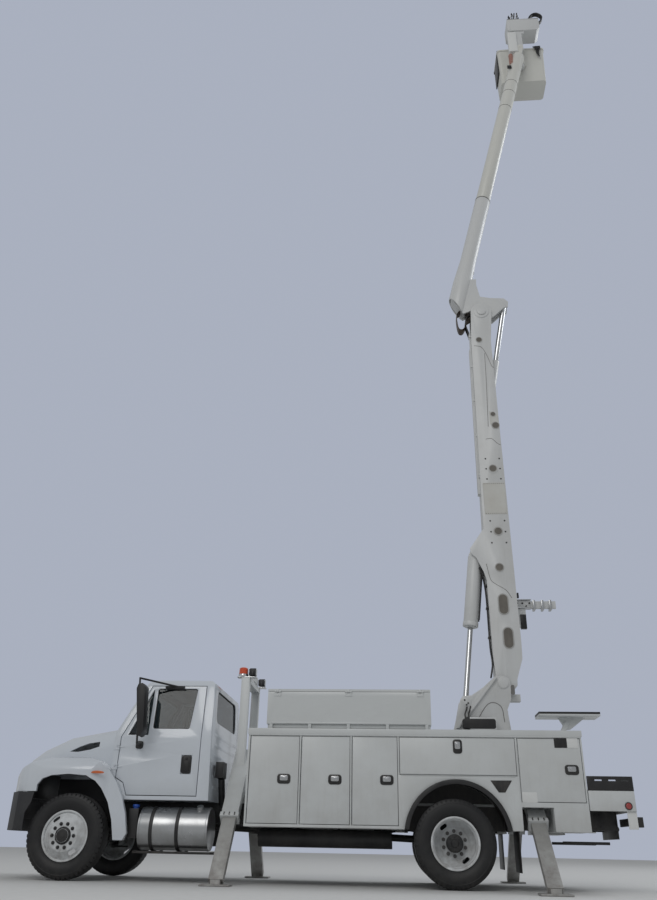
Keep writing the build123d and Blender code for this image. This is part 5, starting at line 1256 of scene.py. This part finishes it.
# columns: height, radius, length of each band
for z, wide, tall in ((15.576, 0.1445, 0.010), (15.261, 0.1445, 0.010), (14.796, 0.1445, 0.012),
                      (12.16, 0.1530, 0.02)):
    put_bar(bands, tube_point(z), tube_point(z) + tube_axis * tall, wide, 48)
settle("tube_bands", bands, "upper_boom_body", seam_dark, ease=0.001)
console_top, console_side = 17.64, 0.1145
console = bmesh.new()
put_block(console, (-7.846, -0.246, console_top), (-7.134, console_side, console_top + 0.012))
put_block(console, (-7.190, 0.108, 17.290), (-7.176, console_side, console_top))
settle("console_lip", console, "head_body", boom_paint, ease=0.003)
knobs = bmesh.new()
for x in (-7.33, -7.27, -7.21):
    put_bar(knobs, (x - 0.066, 0.009, 17.955), (x - 0.075, 0.010, 18.012), 0.016, 16, 0.8)
settle("lever_knobs", knobs, "head_body", latch_black, ease=0.003)
shroud = bmesh.new()
put_block(shroud, (-7.296, 0.03, 16.53), (-7.105, 0.135, 17.18))
settle("valve_box", shroud, "head_body", plate_white, ease=0.012, rows=3)
shed_count, shed_low, shed_pitch = 7, 16.155, 0.044
insulator = bmesh.new()
for step in range(shed_count):
    z = shed_low + shed_pitch * step
    put_bar(insulator, (-7.125, 0.085, z), (-7.125, 0.085, z + 0.026), 0.050, 24, 0.92)
    put_bar(insulator, (-7.125, 0.085, z + 0.020), (-7.125, 0.085, z + 0.046), 0.034, 24)
settle("insulator", insulator, "head_body", pink_insulator, ease=0.002)
head_dark = bmesh.new()
put_block(head_dark, (-7.10, 0.128, 15.945), (-7.01, 0.150, 16.035))
settle("tube_plate", head_dark, "upper_boom_body", latch_black, ease=0.003)
rim = bmesh.new()
rim_outline = rounded((-7.455, -0.605), (1.062, 0.582), 0.08, 6)
put_pipe(rim, [(x, y, 17.168) for x, y in rim_outline], 0.013, 10, closed=True)
settle("bucket_rim", rim, "bucket_body", glass_fibre)
lay_hoses("head_hoses", "head_body", 0.019, [
    [(-7.62, y, 17.64), (-7.70, y + 0.01, 17.79), (-7.82, y + 0.02, 17.83), (-7.93, y + 0.02, 17.72),
     (-7.90, y + 0.01, 17.58), (-7.83, y, 17.50)] for y in (0.02, 0.05, 0.08)])
# columns: x, y, height of each lever
levers = (
    (-7.16, 0.05, 0.16),
    (-7.20, -0.03, 0.22),
    (-7.245, 0.06, 0.19),
    (-7.30, 0.0, 0.25),
    (-7.36, 0.05, 0.17),
    (-7.40, -0.04, 0.21),
)
lever_bank = bmesh.new()
for x, y, tall in levers:
    top_z = console_top + tall
    put_bar(lever_bank, (x, y, console_top - 0.02), (x - 0.03, y + 0.01, top_z), 0.009, 10)
    put_bar(lever_bank, (x - 0.028, y + 0.01, top_z - 0.01), (x - 0.036, y + 0.012, top_z + 0.05), 0.017, 14,
            0.8)
put_block(lever_bank, (-7.42, -0.08, 17.648), (-7.14, 0.09, 17.700))
settle("lever_bank", lever_bank, "head_body", latch_black, ease=0.003)
bucket_pads = bmesh.new()
put_pipe(bucket_pads, [(-6.925, -0.905, 17.120), (-6.922, -0.906, 17.178), (-6.965, -0.760, 17.182),
                       (-6.965, -0.480, 17.182), (-6.925, -0.340, 17.178)], 0.016, 10)
put_block(bucket_pads, (-6.932, -0.840, 16.500), (-6.912, -0.400, 17.120))
settle("bucket_pad", bucket_pads, "bucket_body", hose_black, ease=0.006)
bucket_kit = bmesh.new()
for step in range(3):
    put_pipe(bucket_kit, curved([(-7.74 - 0.03 * step, -0.26, 17.16), (-7.80 - 0.03 * step, -0.235, 17.05),
                                 (-7.80 - 0.02 * step, -0.240, 16.92), (-7.85, -0.245, 16.80)]), 0.015, 8)
put_block(bucket_kit, (-7.900, -0.300, 17.090), (-7.780, -0.240, 17.160))
settle("bucket_kit", bucket_kit, "bucket_body", hose_black, ease=0.004)
